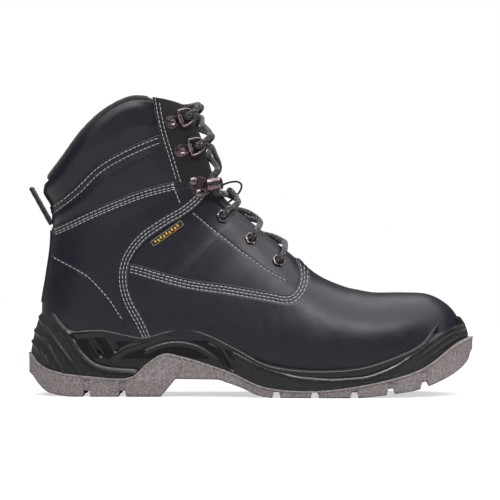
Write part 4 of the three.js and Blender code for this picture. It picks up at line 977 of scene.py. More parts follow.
def build_midsole():
    """Midsole: a moulded wall with heel and toe bumpers around the upper, and a floor under it."""
    x = STATIONS
    bottom = height_of(OUTSOLE_TOP, x) - 0.8
    top = np.maximum(height_of(MIDSOLE_TOP, x), bottom + 4)
    rows = 64
    ridges = [(side_line(HEEL_RIDGES[0], 40), 1.5, 1.5)]
    ridges += [(side_line(points, 30), 1.15, 1.05) for points in HEEL_RIDGES[1:]]
    ridges += [(side_line(points, 30), 0.85, 0.9) for points in TOE_RIDGES]
    ridges += [(side_line(FOREFOOT_RIDGE, 50), 0.7, 1.0), (side_line(ARCH_LINE, 30), 0.5, 1.0),
               (side_line(ARCH_GROOVE, 20), -0.35, 1.1), (side_line(SWOOSH, 20), 0.4, 1.8)]
    slots = [(np.array(ends, float), -1.8, 1.2) for ends in SLOTS]
    collars = [(np.array(ends, float), 0.25, 2.4) for ends in SLOTS]
    heel_line = side_line(HEEL_RIDGES[0], 40)
    fore_line = side_line(FOREFOOT_RIDGE, 50)

    def raised(z):
        """Relief of the wall and its mask, 1 where it is stippled."""
        flat = np.stack([x, z], axis=1)
        behind = signed_distance(heel_line, flat)
        heel = smoothstep(behind, -0.4, 0.6) * (1 - smoothstep(x, -84, -74))
        under = smoothstep(signed_distance(fore_line, flat), -0.3, 0.5) * smoothstep(x, -14, -6)
        lip_zone = smoothstep(x, -112, -92) * (1 - smoothstep(x, 118, 132))
        lip = 1.0 * np.exp(-((top - z - 2.0) / 1.3) ** 2) * lip_zone
        low = 1 - (1 - smoothstep(top - z, 1.5, 4.5)) * lip_zone
        relief = bumps(x, z, ridges) * low + lip + 0.7 * heel + 0.35 * under
        relief += (bumps(x, z, collars) + bumps(x, z, slots)) * low
        glossy_dip = 0.6 * (1 - heel) * smoothstep(-x, 80, 96) * smoothstep(top - z, 2.5, 6)
        return relief - glossy_dip, np.maximum(heel, under)

    def wall(sign):
        levels, masks = [], []
        for k in range(rows + 1):
            z = bottom + (top - bottom) * k / rows
            inset = np.interp(z, MIDSOLE_LEVELS[:, 0], MIDSOLE_LEVELS[:, 1])
            pull = np.interp(z, MIDSOLE_LEVELS[:, 0], MIDSOLE_LEVELS[:, 2])
            relief, mask = raised(z)
            rounding = 1.1 * (1 - smoothstep(top - z, 0, 1.5)) ** 2
            fade = smoothstep(z - bottom, 0.4, 1.6)
            levels.append(np.column_stack([drawn_in(sign, inset - relief * fade + rounding, pull), z]))
            masks.append(mask)
        return levels, masks

    def top_run(sign, edge):
        """From the wall's top edge in under the leather, and down to the floor."""
        _, normal = OUTLINE.side(sign, x)
        inner, floor = [], []
        for place, n in zip(edge, normal):
            start = Vector((place[0], place[1], place[2] - 1.0)) + Vector((n[0], n[1], 0)) * 2
            hit = PANEL_TREE.ray_cast(start, Vector((-n[0], -n[1], 0)), 30)
            reach = (hit[3] - 2 if hit[0] is not None else 5.0) + 0.9
            end = np.array([place[0] - n[0] * reach, place[1] - n[1] * reach, place[2] - 0.7])
            inner.append(end)
        inner = np.array(inner)
        keel = np.interp(x, KEEL.at(ALONG)[::-1, 0], KEEL.at(ALONG)[::-1, 2])
        base = inner.copy()
        base[:, 2] = np.minimum(np.minimum(keel - 0.5, inner[:, 2] - 1.5), 40)
        base[:, 2] = np.maximum(base[:, 2], bottom + 0.2)
        return inner, base

    outer, outer_mask = wall(-1)
    inner, inner_mask = wall(1)
    outer_top, outer_floor = top_run(-1, outer[-1])
    inner_top, inner_floor = top_run(1, inner[-1])
    foot = [np.column_stack([drawn_in(sign, 5, 0), bottom]) for sign in (-1, 1)]
    ring = outer + [outer_top, outer_floor, inner_floor, inner_top] + inner[::-1] + [foot[1], foot[0]]
    zero = np.zeros(len(x))
    mask = outer_mask + [zero] * 4 + inner_mask[::-1] + [zero] * 2
    piece = loft_rings("midsole", np.stack(ring, axis=1), MIDSOLE_LOOK,
                       attributes={"stipple": np.stack(mask, axis=1).ravel()})
    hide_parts("midsole")


def outsole_look():
    look = Look("outsole_rubber", Roughness=0.78)
    look.shader.inputs["Specular IOR Level"].default_value = 0.3
    look.colour(look.spread(look.noise(760, 4, 0.7), 0.36, 0.64), (0.125, 0.104, 0.104),
                (0.300, 0.262, 0.262))
    look.bump(look.noise(950, 4, 0.65), 0.0007, 0.85)
    return look.material


def midsole_look():
    look = Look("midsole_pu", Roughness=0.3, Coat_Weight=0.12, Coat_Roughness=0.12)
    look.shader.inputs["Specular IOR Level"].default_value = 0.38
    mask = look.attribute("stipple")
    look.colour(look.noise(90, 3), (0.0035, 0.0035, 0.0040), (0.0070, 0.0070, 0.0075))
    look.rough(look.spread(mask, 0, 1, 0.22, 0.36))
    grain = look.math("MULTIPLY", look.noise(950, 3, 0.65), mask)
    look.bump(grain, 0.0016, 1.0)
    look.bump(look.noise(200, 3), 0.00015, 0.2)
    return look.material


OUTSOLE_LOOK = outsole_look()
MIDSOLE_LOOK = midsole_look()
build_outsole()
build_midsole()


# ---------------------------------------------------------------- places on the leather

EYELETS = [(19.3, 92.5), (0.7, 107.6), (-18.7, 122.8)]
LOCK = (-36.5, 143)
RINGS = [(-47.5, 168), (-54, 187)]
LOCK_RIVETS = [(-2, 4.4), (0.6, -4.4)]
EYELET_HOLE = 5.6
EYELET_HEX = 9.4
EYELET_FLANGE = 0.8
RING_REACH = 9.8
RING_SPAN = 13.2
RING_WIRE = 1.9
RIVET_HEAD = 6.4
RIVET_SHANK = 2.4
SHEET_METAL = 0.8
PLATE_LIFT = 0.7
RING_AXIS = 6.4
RING_LIFT = 3.4
BOW = RING_AXIS + RING_REACH
TUNNEL = (5.5, 13.9)
TUNNEL_HEIGHT = LACE_DIAMETER + 1.2
CLIP_TUBE = 5.4
TONGUE_FACE = 1.2
TONGUE_FOAM = 4.4
TONGUE_START = section(8.1)
TONGUE_END = section(19.15)


class Mount:
    """Frame on the leather: a points to the throat, b up along the facing and n away from the leather."""

    def __init__(self, place, sign):
        u, around, reach = 0.5, -0.3, 0.25
        steps = np.arange(-4, 5) / 4
        for _ in range(12):
            us = np.clip(u + reach * steps, 0.02, 0.99)
            rounds = np.clip(around + reach * steps, -0.98, -0.02)
            grid_u, grid_round = (a.ravel() for a in np.meshgrid(us, rounds, indexing="ij"))
            found = skin(grid_u, grid_round)
            best = int(np.hypot(found[:, 0] - place[0], found[:, 2] - place[1]).argmin())
            u, around = grid_u[best], grid_round[best]
            reach *= 0.55
        self.u, self.around, self.sign = u, sign * abs(around), sign
        self.origin = skin(u, self.around)[0]
        self.out = outward(np.array([u]), np.array([self.around]))[0]
        rise = skin(u + STEP, self.around)[0] - skin(u - STEP, self.around)[0]
        self.up = unit(rise - self.out * (rise @ self.out))
        towards = skin(u, self.around - sign * STEP)[0] - self.origin
        towards -= self.out * (towards @ self.out)
        self.towards = unit(towards - self.up * (towards @ self.up))
        self.across = np.cross(self.out, self.towards)
        self.lift = np.sign(self.across @ self.up)

    def point(self, a, b, n):
        return self.origin + a * self.towards + b * self.up + n * self.out

    def local(self, points):
        """From (a, across, n) to the boot."""
        p = np.asarray(points, float)
        return self.origin + p[:, :1] * self.towards + p[:, 1:2] * self.across + p[:, 2:] * self.out


ROWS = [[Mount(place, sign) for sign in (-1, 1)] for place in (*EYELETS, LOCK, *RINGS)]


def ridge_layer(u, depth):
    return layer(np.array([u]), np.array([0.0]), depth)[0]


def crossing(row):
    return (ROWS[row][0].u + ROWS[row + 1][0].u) / 2


def throat_edge(mount, beyond, rise, depth):
    u = mount.u + rise * STEP
    around = mount.sign * around_at(np.array([u]), throat_half(u) - beyond)[0]
    return layer(np.array([u]), np.array([around]), depth)[0]


def through_eyelet(m):
    deep = LACE_UNDER
    return [throat_edge(m, 4, -6, deep), throat_edge(m, -2, -3, deep), m.point(4.6, -0.3, -deep),
            m.point(1.4, 0, 0.9 - deep),
            m.point(0.2, 0, -2.4), m.point(0.1, 0, 0.4), m.point(0.4, 0, 2.9), m.point(2.6, 0.2, 4.7),
            m.point(6, 0.8, 4.5),
            throat_edge(m, -2, 3, -2.7), throat_edge(m, 3, 7, -2.4)]


def through_lock(m):
    middle = sum(TUNNEL) / 2
    height = PLATE_LIFT + SHEET_METAL + TUNNEL_HEIGHT / 2
    return [m.point(middle + 7, -8, height + 1.6), m.point(middle + 0.8, -4.5, height + 0.2),
            m.point(middle, 0, height),
            m.point(middle + 0.5, 4.5, height), m.point(middle + 6, 9, height - 1)]


def through_ring(m):
    radius = LACE_DIAMETER / 2 + RING_WIRE / 2 + 1.5
    turns = []
    for degrees, b in ((0, -1.8), (45, -1), (90, 0), (135, 1), (180, 1.8)):
        angle = math.radians(degrees)
        turns.append(m.point(BOW - radius * math.sin(angle), b, RING_LIFT - radius * math.cos(angle)))
    return [m.point(BOW + 5, -3, RING_LIFT - radius - 0.6), *turns,
            m.point(BOW + 5, 4, RING_LIFT + radius - 1.4)]


def through_row(row, side):
    mount = ROWS[row][side]
    if row < len(EYELETS):
        return through_eyelet(mount)
    return through_lock(mount) if row == len(EYELETS) else through_ring(mount)


CROSS_HEIGHTS = (-0.6, -4.9)


def strand(first):
    points, side = [], first
    for row in range(len(ROWS)):
        through = through_row(row, side)
        points += through[1:] if row == 0 else through
        if row + 1 < len(ROWS):
            points.append(ridge_layer(crossing(row), -CROSS_HEIGHTS[first]))
        side = 1 - side
    y = 9 if side == 0 else -9
    inside = TONGUE_TOP + TONGUE_FACE + TONGUE_FOAM + 16
    for u, depth in ((TONGUE_END + 0.018, 3), (TONGUE_END + 0.028, TONGUE_TOP + 3), (TONGUE_END, inside - 1),
                     (section(17.4), inside), (section(15), inside), (section(12.5), inside),
                     (section(10.5), inside)):
        point = ridge_layer(u, depth)
        point[1] = y
        points.append(point)
    return points


# ---------------------------------------------------------------- swept and turned shapes


def sweep(path, section_of, closed=False):
    """Grid of points: a cross-section carried along a path.

    section_of(k, s) gives (side, up) pairs at point k, a length s from the start.
    """
    path = np.asarray(path, float)
    count = len(path)
    if closed:
        tangent = unit(np.roll(path, -1, axis=0) - np.roll(path, 1, axis=0))
    else:
        tangent = unit(np.gradient(path, axis=0))
    start = np.array([0.0, 0.0, 1.0]) if abs(tangent[0][2]) < 0.9 else np.array([1.0, 0.0, 0.0])
    normal = unit(start - tangent[0] * (start @ tangent[0]))
    rings = []
    run = 0.0
    for k in range(count):
        normal = unit(normal - tangent[k] * (normal @ tangent[k]))
        side = np.cross(tangent[k], normal)
        if k:
            run += np.linalg.norm(path[k] - path[k - 1])
        shape = np.asarray(section_of(k, run))
        rings.append(path[k] + shape[:, :1] * side + shape[:, 1:] * normal)
    return np.array(rings)


def ring_mesh(rings, closed=False):
    """Points and outward faces of a tube through rings, closed in a loop or by its ends."""
    rows, columns = rings.shape[:2]
    points = rings.reshape(-1, 3)
    faces = grid_faces(rows, columns, wrap_rows=closed, wrap_columns=True).tolist()
    if not closed:
        faces.append(list(range(columns))[::-1])
        faces.append([(rows - 1) * columns + k for k in range(columns)])
    return points, outward_faces(points, faces)


def round_section(radius, sides):
    angle = 2 * math.pi * np.arange(sides) / sides
    shape = np.stack([np.cos(angle), np.sin(angle)], axis=1) * radius
    return lambda k, s: shape


def turned(profile, sides=36):
    """Closed shape turned about n from (radius, height) pairs. The last pair joins the first."""
    profile = np.asarray(profile, float)
    angle = 2 * math.pi * np.arange(sides) / sides
    rings = np.stack([np.stack([r * np.cos(angle), r * np.sin(angle), np.full(sides, h)], axis=1) for r,
                      h in profile])
    points = rings.reshape(-1, 3)
    faces = grid_faces(len(profile), sides, wrap_rows=True, wrap_columns=True).tolist()
    return points, outward_faces(points, faces)


def plate(outline, holes, low, thickness, bevel=0.18):
    """Flat plate with softened edges, from (a, b) outlines."""
    data = bpy.data.curves.new("plate", "CURVE")
    data.dimensions = "2D"
    data.fill_mode = "BOTH"
    for loop in [outline, *holes]:
        spline = data.splines.new("POLY")
        spline.points.add(len(loop) - 1)
        for point, (a, b) in zip(spline.points, loop):
            point.co = (a, b, 0, 1)
        spline.use_cyclic_u = True
    data.extrude = thickness / 2 - bevel
    data.bevel_depth = bevel
    data.bevel_resolution = 2
    data.offset = -bevel
    maker = bpy.data.objects.new("plate", data)
    bpy.context.scene.collection.objects.link(maker)
    bpy.context.view_layer.update()
    mesh = bpy.data.meshes.new_from_object(maker.evaluated_get(bpy.context.evaluated_depsgraph_get()))
    points = np.array([v.co for v in mesh.vertices])
    faces = [list(p.vertices) for p in mesh.polygons]
    bpy.data.objects.remove(maker)
    bpy.data.curves.remove(data)
    points[:, 2] += low + thickness / 2
    return points, faces


def circle(radius, count=24, a=0.0, b=0.0):
    turn = 2 * math.pi * np.arange(count) / count
    return [(a + radius * math.cos(t), b + radius * math.sin(t)) for t in turn]


def arc(radius, start, end, a=0.0, b=0.0, count=12):
    return [(a + radius * math.cos(t),
             b + radius * math.sin(t)) for t in np.radians(np.linspace(start, end, count))]


def joined(parts):
    points, faces = [], []
    for more, more_faces in parts:
        base = len(points)
        points += np.asarray(more).tolist()
        faces += [[base + k for k in face] for face in more_faces]
    return np.array(points), faces


def fitted(name, node, mount, parts, material, body="boot"):
    points, faces = joined(parts)
    piece = mesh_object(name, mount.local(points), faces, material, body)
    tidy_mesh(piece)
    for polygon in piece.data.polygons:
        polygon.use_smooth = True
    sharpen(piece)
    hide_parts(node)
    return piece


def sharpen(piece, degrees=38):
    piece.data.set_sharp_from_angle(angle=math.radians(degrees))


def hexagon(radius):
    corners = [np.array(p) for p in circle(radius, 6)]
    loop = []
    for k in range(6):
        before, here, after = corners[k - 1], corners[k], corners[(k + 1) % 6]
        loop += [tuple(here + 0.12 * (before - here)), tuple(here + 0.03 * (before + after - 2 * here)),
                 tuple(here + 0.12 * (after - here))]
    return loop


def build_eyelet(name, mount):
    inner = EYELET_HOLE / 2
    top = PLATE_LIFT + EYELET_FLANGE
    flange = plate(hexagon(EYELET_HEX / 2), [circle(inner + 0.4)], PLATE_LIFT, EYELET_FLANGE, 0.25)
    barrel = turned([(inner, -3.1), (inner + 0.5, -3.1), (inner + 0.5, top - 0.3), (inner + 1.0, top - 0.1),
                     (inner + 1.05, top + 0.25), (inner + 0.6, top + 0.55), (inner + 0.15, top + 0.4),
                     (inner, top)])
    fitted(name, name, mount, [flange, barrel], GUNMETAL_LOOK)


def rivet_shape(cupped, a=0.0, b=0.0):
    head, shank = RIVET_HEAD / 2, RIVET_SHANK / 2
    foot, seat = -3.1, PLATE_LIFT + SHEET_METAL + 0.1
    stem = [(0.01, foot - 0.7), (shank + 1, foot - 0.7), (shank + 1, foot), (shank, foot), (shank, seat),
            (head, seat)]
    if cupped:
        crown = [(head + 0.3, seat + 0.4), (head + 0.2, seat + 1.1), (head - 0.3, seat + 1.7),
                 (head - 0.9, seat + 1.75),
                 (head - 1.4, seat + 1.3), (head - 1.9, seat + 1.0), (0.8, seat + 0.9), (0.01, seat + 0.9)]
    else:
        crown = [(head + 0.1, seat + 0.4), (head - 0.15, seat + 1.0), (head - 0.9, seat + 1.7),
                 (head - 1.9, seat + 2.05),
                 (0.01, seat + 2.15)]
    points, faces = turned(stem + crown)
    return points + (a, b, 0), faces


def build_ring_row(number, side, mount):
    tag = f"{number}_{side}"
    pear = arc(RIVET_HEAD / 2 + 1.2, 75, 285) + [(RING_AXIS, -CLIP_TUBE / 2), (RING_AXIS, CLIP_TUBE / 2)]
    body = plate(pear, [circle(RIVET_SHANK / 2 + 0.3)], PLATE_LIFT, SHEET_METAL, 0.2)
    bore, wall, half = RING_WIRE / 2 + 0.3, RING_WIRE / 2 + 1.0, CLIP_TUBE / 2
    points, faces = turned([(bore, -half), (wall - 0.2, -half), (wall, -half + 0.2), (wall, half - 0.2),
                            (wall - 0.2, half), (bore, half)], 28)
    knuckle = np.stack([points[:, 0] + RING_AXIS, points[:, 2], points[:, 1] + RING_LIFT], axis=1)
    web_high = RING_LIFT - bore - 0.1
    web = np.array([(x, y, z) for x in (RING_AXIS - SHEET_METAL, RING_AXIS) for y in (-half + 0.1, half - 0.1)
                    for z in (PLATE_LIFT + 0.1, web_high)])
    web_faces = outward_faces(web, [[0, 1, 3, 2], [4, 6, 7, 5], [0, 4, 5, 1], [2, 3, 7, 6], [0, 2, 6, 4],
                                    [1, 5, 7, 3]])
    fitted("ring_clip_" + tag, "ring_clip_" + tag, mount,
           [body, (knuckle, outward_faces(knuckle, faces)), (web, web_faces)],
           GUNMETAL_LOOK)
    fitted("ring_rivet_" + tag, "ring_rivet_" + tag, mount, [rivet_shape(True)], GUNMETAL_LOOK)
    radius = RING_SPAN / 2 - RING_WIRE / 2
    bow = [(RING_AXIS, y, RING_LIFT) for y in np.linspace(-radius + 1.2, radius - 1.2, 14)]
    power = 2 / 2.5
    for t in np.radians(np.linspace(90, -90, 40)):
        a = RING_REACH * abs(math.cos(t)) ** power
        b = radius * math.copysign(abs(math.sin(t)) ** power, t)
        bow.append((RING_AXIS + a, b, RING_LIFT))
    loop = resampled(np.array(bow + [bow[0]]), 0.55)[:-1]
    for _ in range(2):
        loop = (np.roll(loop, 1, axis=0) + 2 * loop + np.roll(loop, -1, axis=0)) / 4
    rings = sweep(loop, round_section(RING_WIRE / 2, 14), closed=True)
    fitted("d_ring_" + tag, "d_ring_" + tag, mount, [ring_mesh(rings, closed=True)], GUNMETAL_LOOK,
           f"ring_{number}_{side}")


def build_lock(side, mount):
    corner = RIVET_HEAD / 2 + 0.8
    rivets = [(a, b * mount.lift) for a, b in LOCK_RIVETS]
    upper, lower = sorted(rivets, key=lambda ab: -ab[1])
    tip = TUNNEL[1] + 0.6
    outline = [(tip, 2.6)] + arc(corner, 70, 180, *upper) + arc(corner, 180, 290, *lower) + [(tip, -2.6)]
    base = plate(outline, [circle(RIVET_SHANK / 2 + 0.3, 20, a, b) for a, b in rivets], PLATE_LIFT,
                 SHEET_METAL, 0.2)
    parts = [base]
    low, high = PLATE_LIFT + 0.4, PLATE_LIFT + SHEET_METAL + TUNNEL_HEIGHT + 0.8
    for a in TUNNEL:
        shape = [(x, y) for x, y in ((-0.6, -2.6), (0.6, -2.6), (0.6, 2.6), (-0.6, 2.6))]
        leg = np.array([(a + x, y, z) for z in (low, high) for x, y in shape])
        parts.append((leg, outward_faces(leg, [[0, 1, 2, 3], [4, 5, 6, 7][::-1], [0, 1, 5, 4], [1, 2, 6, 5],
                                               [2, 3, 7, 6], [3, 0, 4, 7]])))
    length = TUNNEL[1] - TUNNEL[0] + 1.2
    stations = [(-0.5, 0.55), (-0.49, 0.8), (-0.44, 0.97), (-0.36, 1.0), (0.22, 1.0), (0.28, 0.9),
                (0.34, 0.9), (0.38, 1.03),
                (0.45, 1.03), (0.49, 0.85), (0.5, 0.5)]
    middle, centre = sum(TUNNEL) / 2, PLATE_LIFT + SHEET_METAL + TUNNEL_HEIGHT + 1.68
    rings = []
    for share, size in stations:
        t = 2 * math.pi * np.arange(28) / 28
        rings.append(np.stack([np.full(28, middle + share * length), 4.2 * size * np.cos(t),
                               centre + 1.75 * size * np.sin(t)], axis=1))
    parts.append(ring_mesh(np.array(rings)))
    fitted("lace_lock_" + side, "lace_lock_" + side, mount, parts, GUNMETAL_LOOK)
    for number, (a, b) in enumerate(rivets, 1):
        fitted(f"lock_rivet_{number}_{side}", f"lock_rivet_{number}_{side}", mount,
               [rivet_shape(False, a, b)], GUNMETAL_LOOK)


def build_lace():
    """One braided lace along its whole route, both ends tucked inside the shaft."""
    bar = ridge_layer(ROWS[0][0].u, LACE_UNDER)
    route = np.array([*strand(0)[::-1], bar, *strand(1)])
    path = Curve(route).at(np.linspace(0, 1, 16 * len(route)))
    path = resampled(path, 0.8)
    for _ in range(3):
        path[1:-1] = (path[:-2] + 2 * path[1:-1] + path[2:]) / 4
    path = resampled(path, 0.5)
    sides, plaits, pitch = 20, 4, 3.6
    angle = 2 * math.pi * np.arange(sides) / sides
    pattern = []

    def braided(_, s):
        turn = 2 * math.pi * s / pitch
        strands = np.maximum(np.cos(plaits * angle + turn), np.cos(plaits * angle - turn))
        pattern.append(strands)
        radius = LACE_DIAMETER / 2 * (0.93 + 0.10 * strands)
        return np.stack([np.cos(angle) * radius, np.sin(angle) * radius], axis=1)

    rings = sweep(path, braided)
    points, faces = ring_mesh(rings)
    piece = mesh_object("lace", points, faces, LACE_LOOK, attributes={"plait": np.array(pattern).ravel()})
    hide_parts("lace")


# ---------------------------------------------------------------- inner layers and trim


def skin_sheet(name, nodes, material, limits, outer, inner):
    """Sheet that follows the leather at given depths, cut where a distance falls below its limit."""
    patch = COARSE_PATCH
    for key, level in limits:
        patch = patch.keep(key, level)
    patch = patch.compact()
    values = patch.values
    top = values["place"] - values["normal"] * np.broadcast_to(outer(values), len(values["u"]))[:, None]
    under = values["place"] - values["normal"] * np.broadcast_to(inner(values), len(values["u"]))[:, None]
    points, faces = between_faces(top, under, patch.triangles)
    piece = mesh_object(name, points, faces, material)
    tidy_mesh(piece, 2e-6)
    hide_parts(*nodes)
    return piece


def collar_padding(values):
    back = smoothstep(values["share"], 0.3, 0.5)
    return 5 * back * smoothstep(values["u"], section(17), section(18.5))


def layer_sheet(name, node, material, u_range, around_of, depths, size=(60, 40), crown=0.0):
    """Closed sheet between two depths over a range of sections and of places round them."""
    us = np.linspace(*u_range, size[0] + 1)
    shares = np.linspace(0, 1, size[1] + 1)
    grid_u, grid_w = np.meshgrid(us, shares, indexing="ij")
    low, high = around_of(grid_u)
    around = low + (high - low) * grid_w
    v = (grid_u - us[0]) / (us[-1] - us[0])
    swell = crown * (np.sin(math.pi * np.clip(grid_w, 0,
                                              1)) ** 0.5) * (np.sin(math.pi * np.clip(v, 0, 1)) ** 0.35)
    shape = grid_u.shape + (3,)
    top = layer(grid_u.ravel(), around.ravel(), (depths[0] - swell).ravel()).reshape(shape)
    under = layer(grid_u.ravel(), around.ravel(), np.full(grid_u.size, depths[1])).reshape(shape)
    points, faces = closed_sheet(top, under)
    piece = mesh_object(name, points, faces, material)
    tidy_mesh(piece, 2e-6)
    sharpen(piece, 50)
    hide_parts(node)
    return piece


def tongue_span(u):
    limit = around_at(u.ravel(), throat_half(u.ravel()) + 9).reshape(u.shape)
    return -limit, limit


def gusset_span(sign):
    def span(u):
        near = around_at(u.ravel(), throat_half(u.ravel()) + 13).reshape(u.shape)
        far = around_at(u.ravel(), throat_half(u.ravel()) + 19).reshape(u.shape)
        return sign * near, sign * far
    return span


def build_binding():
    """Rolled fabric binding over the collar's edge."""
    rim = shifted(COLLAR_LINE, 2.6)
    depth = LINING_BOTTOM / 2 + 2.5

    def edge_point(around):
        low, high = section(16), 1.0
        for _ in range(24):
            middle = (low + high) / 2
            point = layer(np.array([middle]), np.array([around]), depth)[0]
            if point[2] < np.interp(point[0], rim[:, 0], rim[:, 1]):
                low = middle
            else:
                high = middle
        return layer(np.array([low]), np.array([around]), depth)[0]

    stops = 0.32 + 0.65 * np.arange(9) / 8
    ring = [edge_point(-a) for a in stops] + [edge_point(a) for a in stops[::-1]]
    path = resampled(Curve(ring).at(np.linspace(0, 1, 500)), 0.9)
    count = 24
    angle = 2 * math.pi * np.arange(count) / count

    def roll(k, s):
        end = min(k, len(path) - 1 - k)
        size = min(1.0, 0.45 + 0.18 * end)
        wrinkle = 1 + 0.025 * math.sin(s * 0.9) * np.cos(2 * angle + s * 0.13) + 0.015 * math.sin(s * 2.3 + 1)
        return np.stack([np.cos(angle) * 3.0, np.sin(angle) * 3.0], axis=1) * (size * wrinkle)[:, None]

    points, faces = ring_mesh(sweep(path, roll))
    piece = mesh_object("topline_binding", points, faces, BINDING_LOOK)
    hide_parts("topline_binding")


TAB_WALL = 1.05                 # thickness of the folded webbing


def build_tab():
    """Pull tab: a webbing strip folded at its tip, both ends sewn in at the root."""
    lean = math.radians(61)
    along = np.array([-math.cos(lean), 0, math.sin(lean)])
    out = np.array([-math.sin(lean), 0, -math.cos(lean)])
    root = np.array([-138.2, 0, 118.5])
    half, length = 1.3, 28.0
    spine = [(s, half * 0.96) for s in np.linspace(-half, length - 2.2, 30)]
    spine += [(length - 2.2 + 1.9 * math.sin(t),
               1.45 * math.cos(t)) for t in np.linspace(0.2, math.pi - 0.2, 12)]
    spine += [(s, -half * 0.96) for s in np.linspace(length - 2.2, -half, 30)]
    spine = np.array(spine)
    tangent = unit(np.gradient(spine, axis=0))
    normal = np.stack([-tangent[:, 1], tangent[:, 0]], axis=1)
    widths = np.linspace(-8, 8, 33)
    faces_in, faces_out = [], []
    for (s, t), (ns, nt) in zip(spine, normal):
        edge = np.clip((np.abs(widths) - 7.2) / 0.8, 0, 1) ** 2
        cord = 0.10 * np.cos(widths * 2 * math.pi / 1.6) + 0.06 * math.cos(s * 2 * math.pi / 1.1)
        relief = 0.05 + cord - 0.35 * edge
        outside, inside = [], []
        for w, o in zip(widths, relief):
            y = np.array([0, w, 0])
            outside.append(root + along * (s + ns * o) + out * (t + nt * o) + y)
            inside.append(root + along * (s - ns * TAB_WALL) + out * (t - nt * TAB_WALL) + y)
        faces_out.append(outside)
        faces_in.append(inside)
    points, faces = closed_sheet(np.array(faces_out), np.array(faces_in))
    piece = mesh_object("pull_tab", points, faces, WEBBING_LOOK, "tab")
    tidy_mesh(piece)
    sharpen(piece, 60)
    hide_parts("pull_tab")


def build_label():
    """Woven side label with a light border and generic marks."""
    start, end = (-67, 104), (-46, 119)
    rows, columns = 40, 12
    across = unit(np.array([-(end[1] - start[1]), end[0] - start[0]], float))

    def strip(low, high, side_low, side_high, lift, cells):
        top, under = [], []
        for share in np.linspace(low, high, cells + 1):
            line, back = [], []
            for w in np.linspace(side_low, side_high, columns + 1):
                x = start[0] + share * (end[0] - start[0]) + across[0] * w
                z = start[1] + share * (end[1] - start[1]) + across[1] * w
                found = on_leather(x, z, -1)
                line.append(found[0] + found[1] * lift)
                back.append(found[0] - found[1] * 0.2)
            top.append(line)
            under.append(back)
        return closed_sheet(np.array(top), np.array(under))

    base, border, marks = [strip(0, 1, -2.1, 2.1, 0.55, rows)], [], []
    for side_low, side_high in ((-1.95, -1.7), (1.7, 1.95)):
        border.append(strip(0.015, 0.985, side_low, side_high, 0.68, rows))
    for low, high in ((0.012, 0.022), (0.978, 0.988)):
        border.append(strip(low, high, -1.95, 1.95, 0.68, 2))
    for k in range(9):
        low = 0.10 + 0.09 * k
        marks.append(strip(low, low + 0.045, -1.05 if k % 2 else -0.55, 0.55 if k % 2 else 1.05, 0.72, 3))
    for name, parts, look in (("side_label", base, LABEL_LOOK), ("side_label_border", border, BORDER_LOOK),
                              ("side_label_marks", marks, MARK_LOOK)):
        points, faces = joined(parts)
        piece = mesh_object(name, points, faces, look)
        sharpen(piece, 40)
        if name == "side_label":
            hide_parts("side_label")


def build_keeper():
    """Band loop on the tongue that the laces pass under."""
    place = crossing(2)
    out = outward(np.array([place]), np.array([0.0]))[0]
    along = np.cross([0, 1, 0], out)
    origin = ridge_layer(place, TONGUE_TOP - 0.6)
    path = []
    for t in np.linspace(0, math.pi, 46):
        path.append(origin + along * 6.3 * math.cos(t) + out * (15.3 * math.sin(t) + 0.1))
    path = np.array(path)
    half_width, half_thick = 2.5, 0.7
    turn = 2 * math.pi * np.arange(28) / 28
    y = np.sign(np.cos(turn)) * np.abs(np.cos(turn)) ** 0.35 * half_width
    t = np.sign(np.sin(turn)) * np.abs(np.sin(turn)) ** 0.6 * half_thick
    tangent = unit(np.gradient(path, axis=0))
    rings = []
    for k, point in enumerate(path):
        normal = np.cross(tangent[k], [0, 1, 0])
        rings.append(point + y[:, None] * np.array([0, 1, 0]) + t[:, None] * normal)
    points, faces = ring_mesh(np.array(rings))
    piece = mesh_object("lace_keeper", points, faces, WEBBING_LOOK)
    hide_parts("lace_keeper")


def build_footbed():
    """Footbed with a cupped heel and rounded edges."""
    stations = np.linspace(section(0.9), section(13.6), 90)
    keel = KEEL.at(stations)
    outer = HALF[-1].at(stations)[:, 1] - 8.5
    inner = HALF[1].at(stations)[:, 1] - 8.5
    shares = np.linspace(-1, 1, 41)
    top, under = [], []
    base, thick = 3.2 + 0.6, 5.0
    for point, yo, yi in zip(keel, outer, inner):
        heel = smoothstep(-point[0], 70, 120)
        line, back = [], []
        for share in shares:
            y = share * (yi if share > 0 else yo)
            rise = 2.2 * heel * abs(share) ** 3 - 1.3 * abs(share) ** 14
            line.append((point[0] * 0.985, y, point[2] + base + thick + rise))
            back.append((point[0] * 0.985, y * 0.99, point[2] + base))
        top.append(line)
        under.append(back)
    points, faces = closed_sheet(np.array(top), np.array(under))
    piece = mesh_object("footbed", points, faces, FOOTBED_LOOK)
    sharpen(piece, 50)
    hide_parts("footbed")


# ---------------------------------------------------------------- materials of the small parts


def metal_look(name, colour, rough, worn):
    look = Look(name, Metallic=1.0, Roughness=rough)
    look.colour(look.noise(500, 4, 0.6), colour, worn)
    look.rough(look.spread(look.noise(260, 4), 0.3, 0.7, rough * 0.75, rough * 1.35))
    look.bump(look.noise(900, 3), 0.00006, 0.25)
    return look.material


def lace_look():
    look = Look("lace_braid", Roughness=0.85, Sheen_Weight=0.2)
    flecks = look.math("MULTIPLY", look.spread(look.attribute("plait"), 0.45, 1.0),
                       look.spread(look.noise(620, 3, 0.7), 0.47, 0.58))
    look.colour(flecks, (0.010, 0.010, 0.011), (0.24, 0.24, 0.25))
    look.bump(look.noise(2400, 2), 0.00015, 0.6)
    return look.material


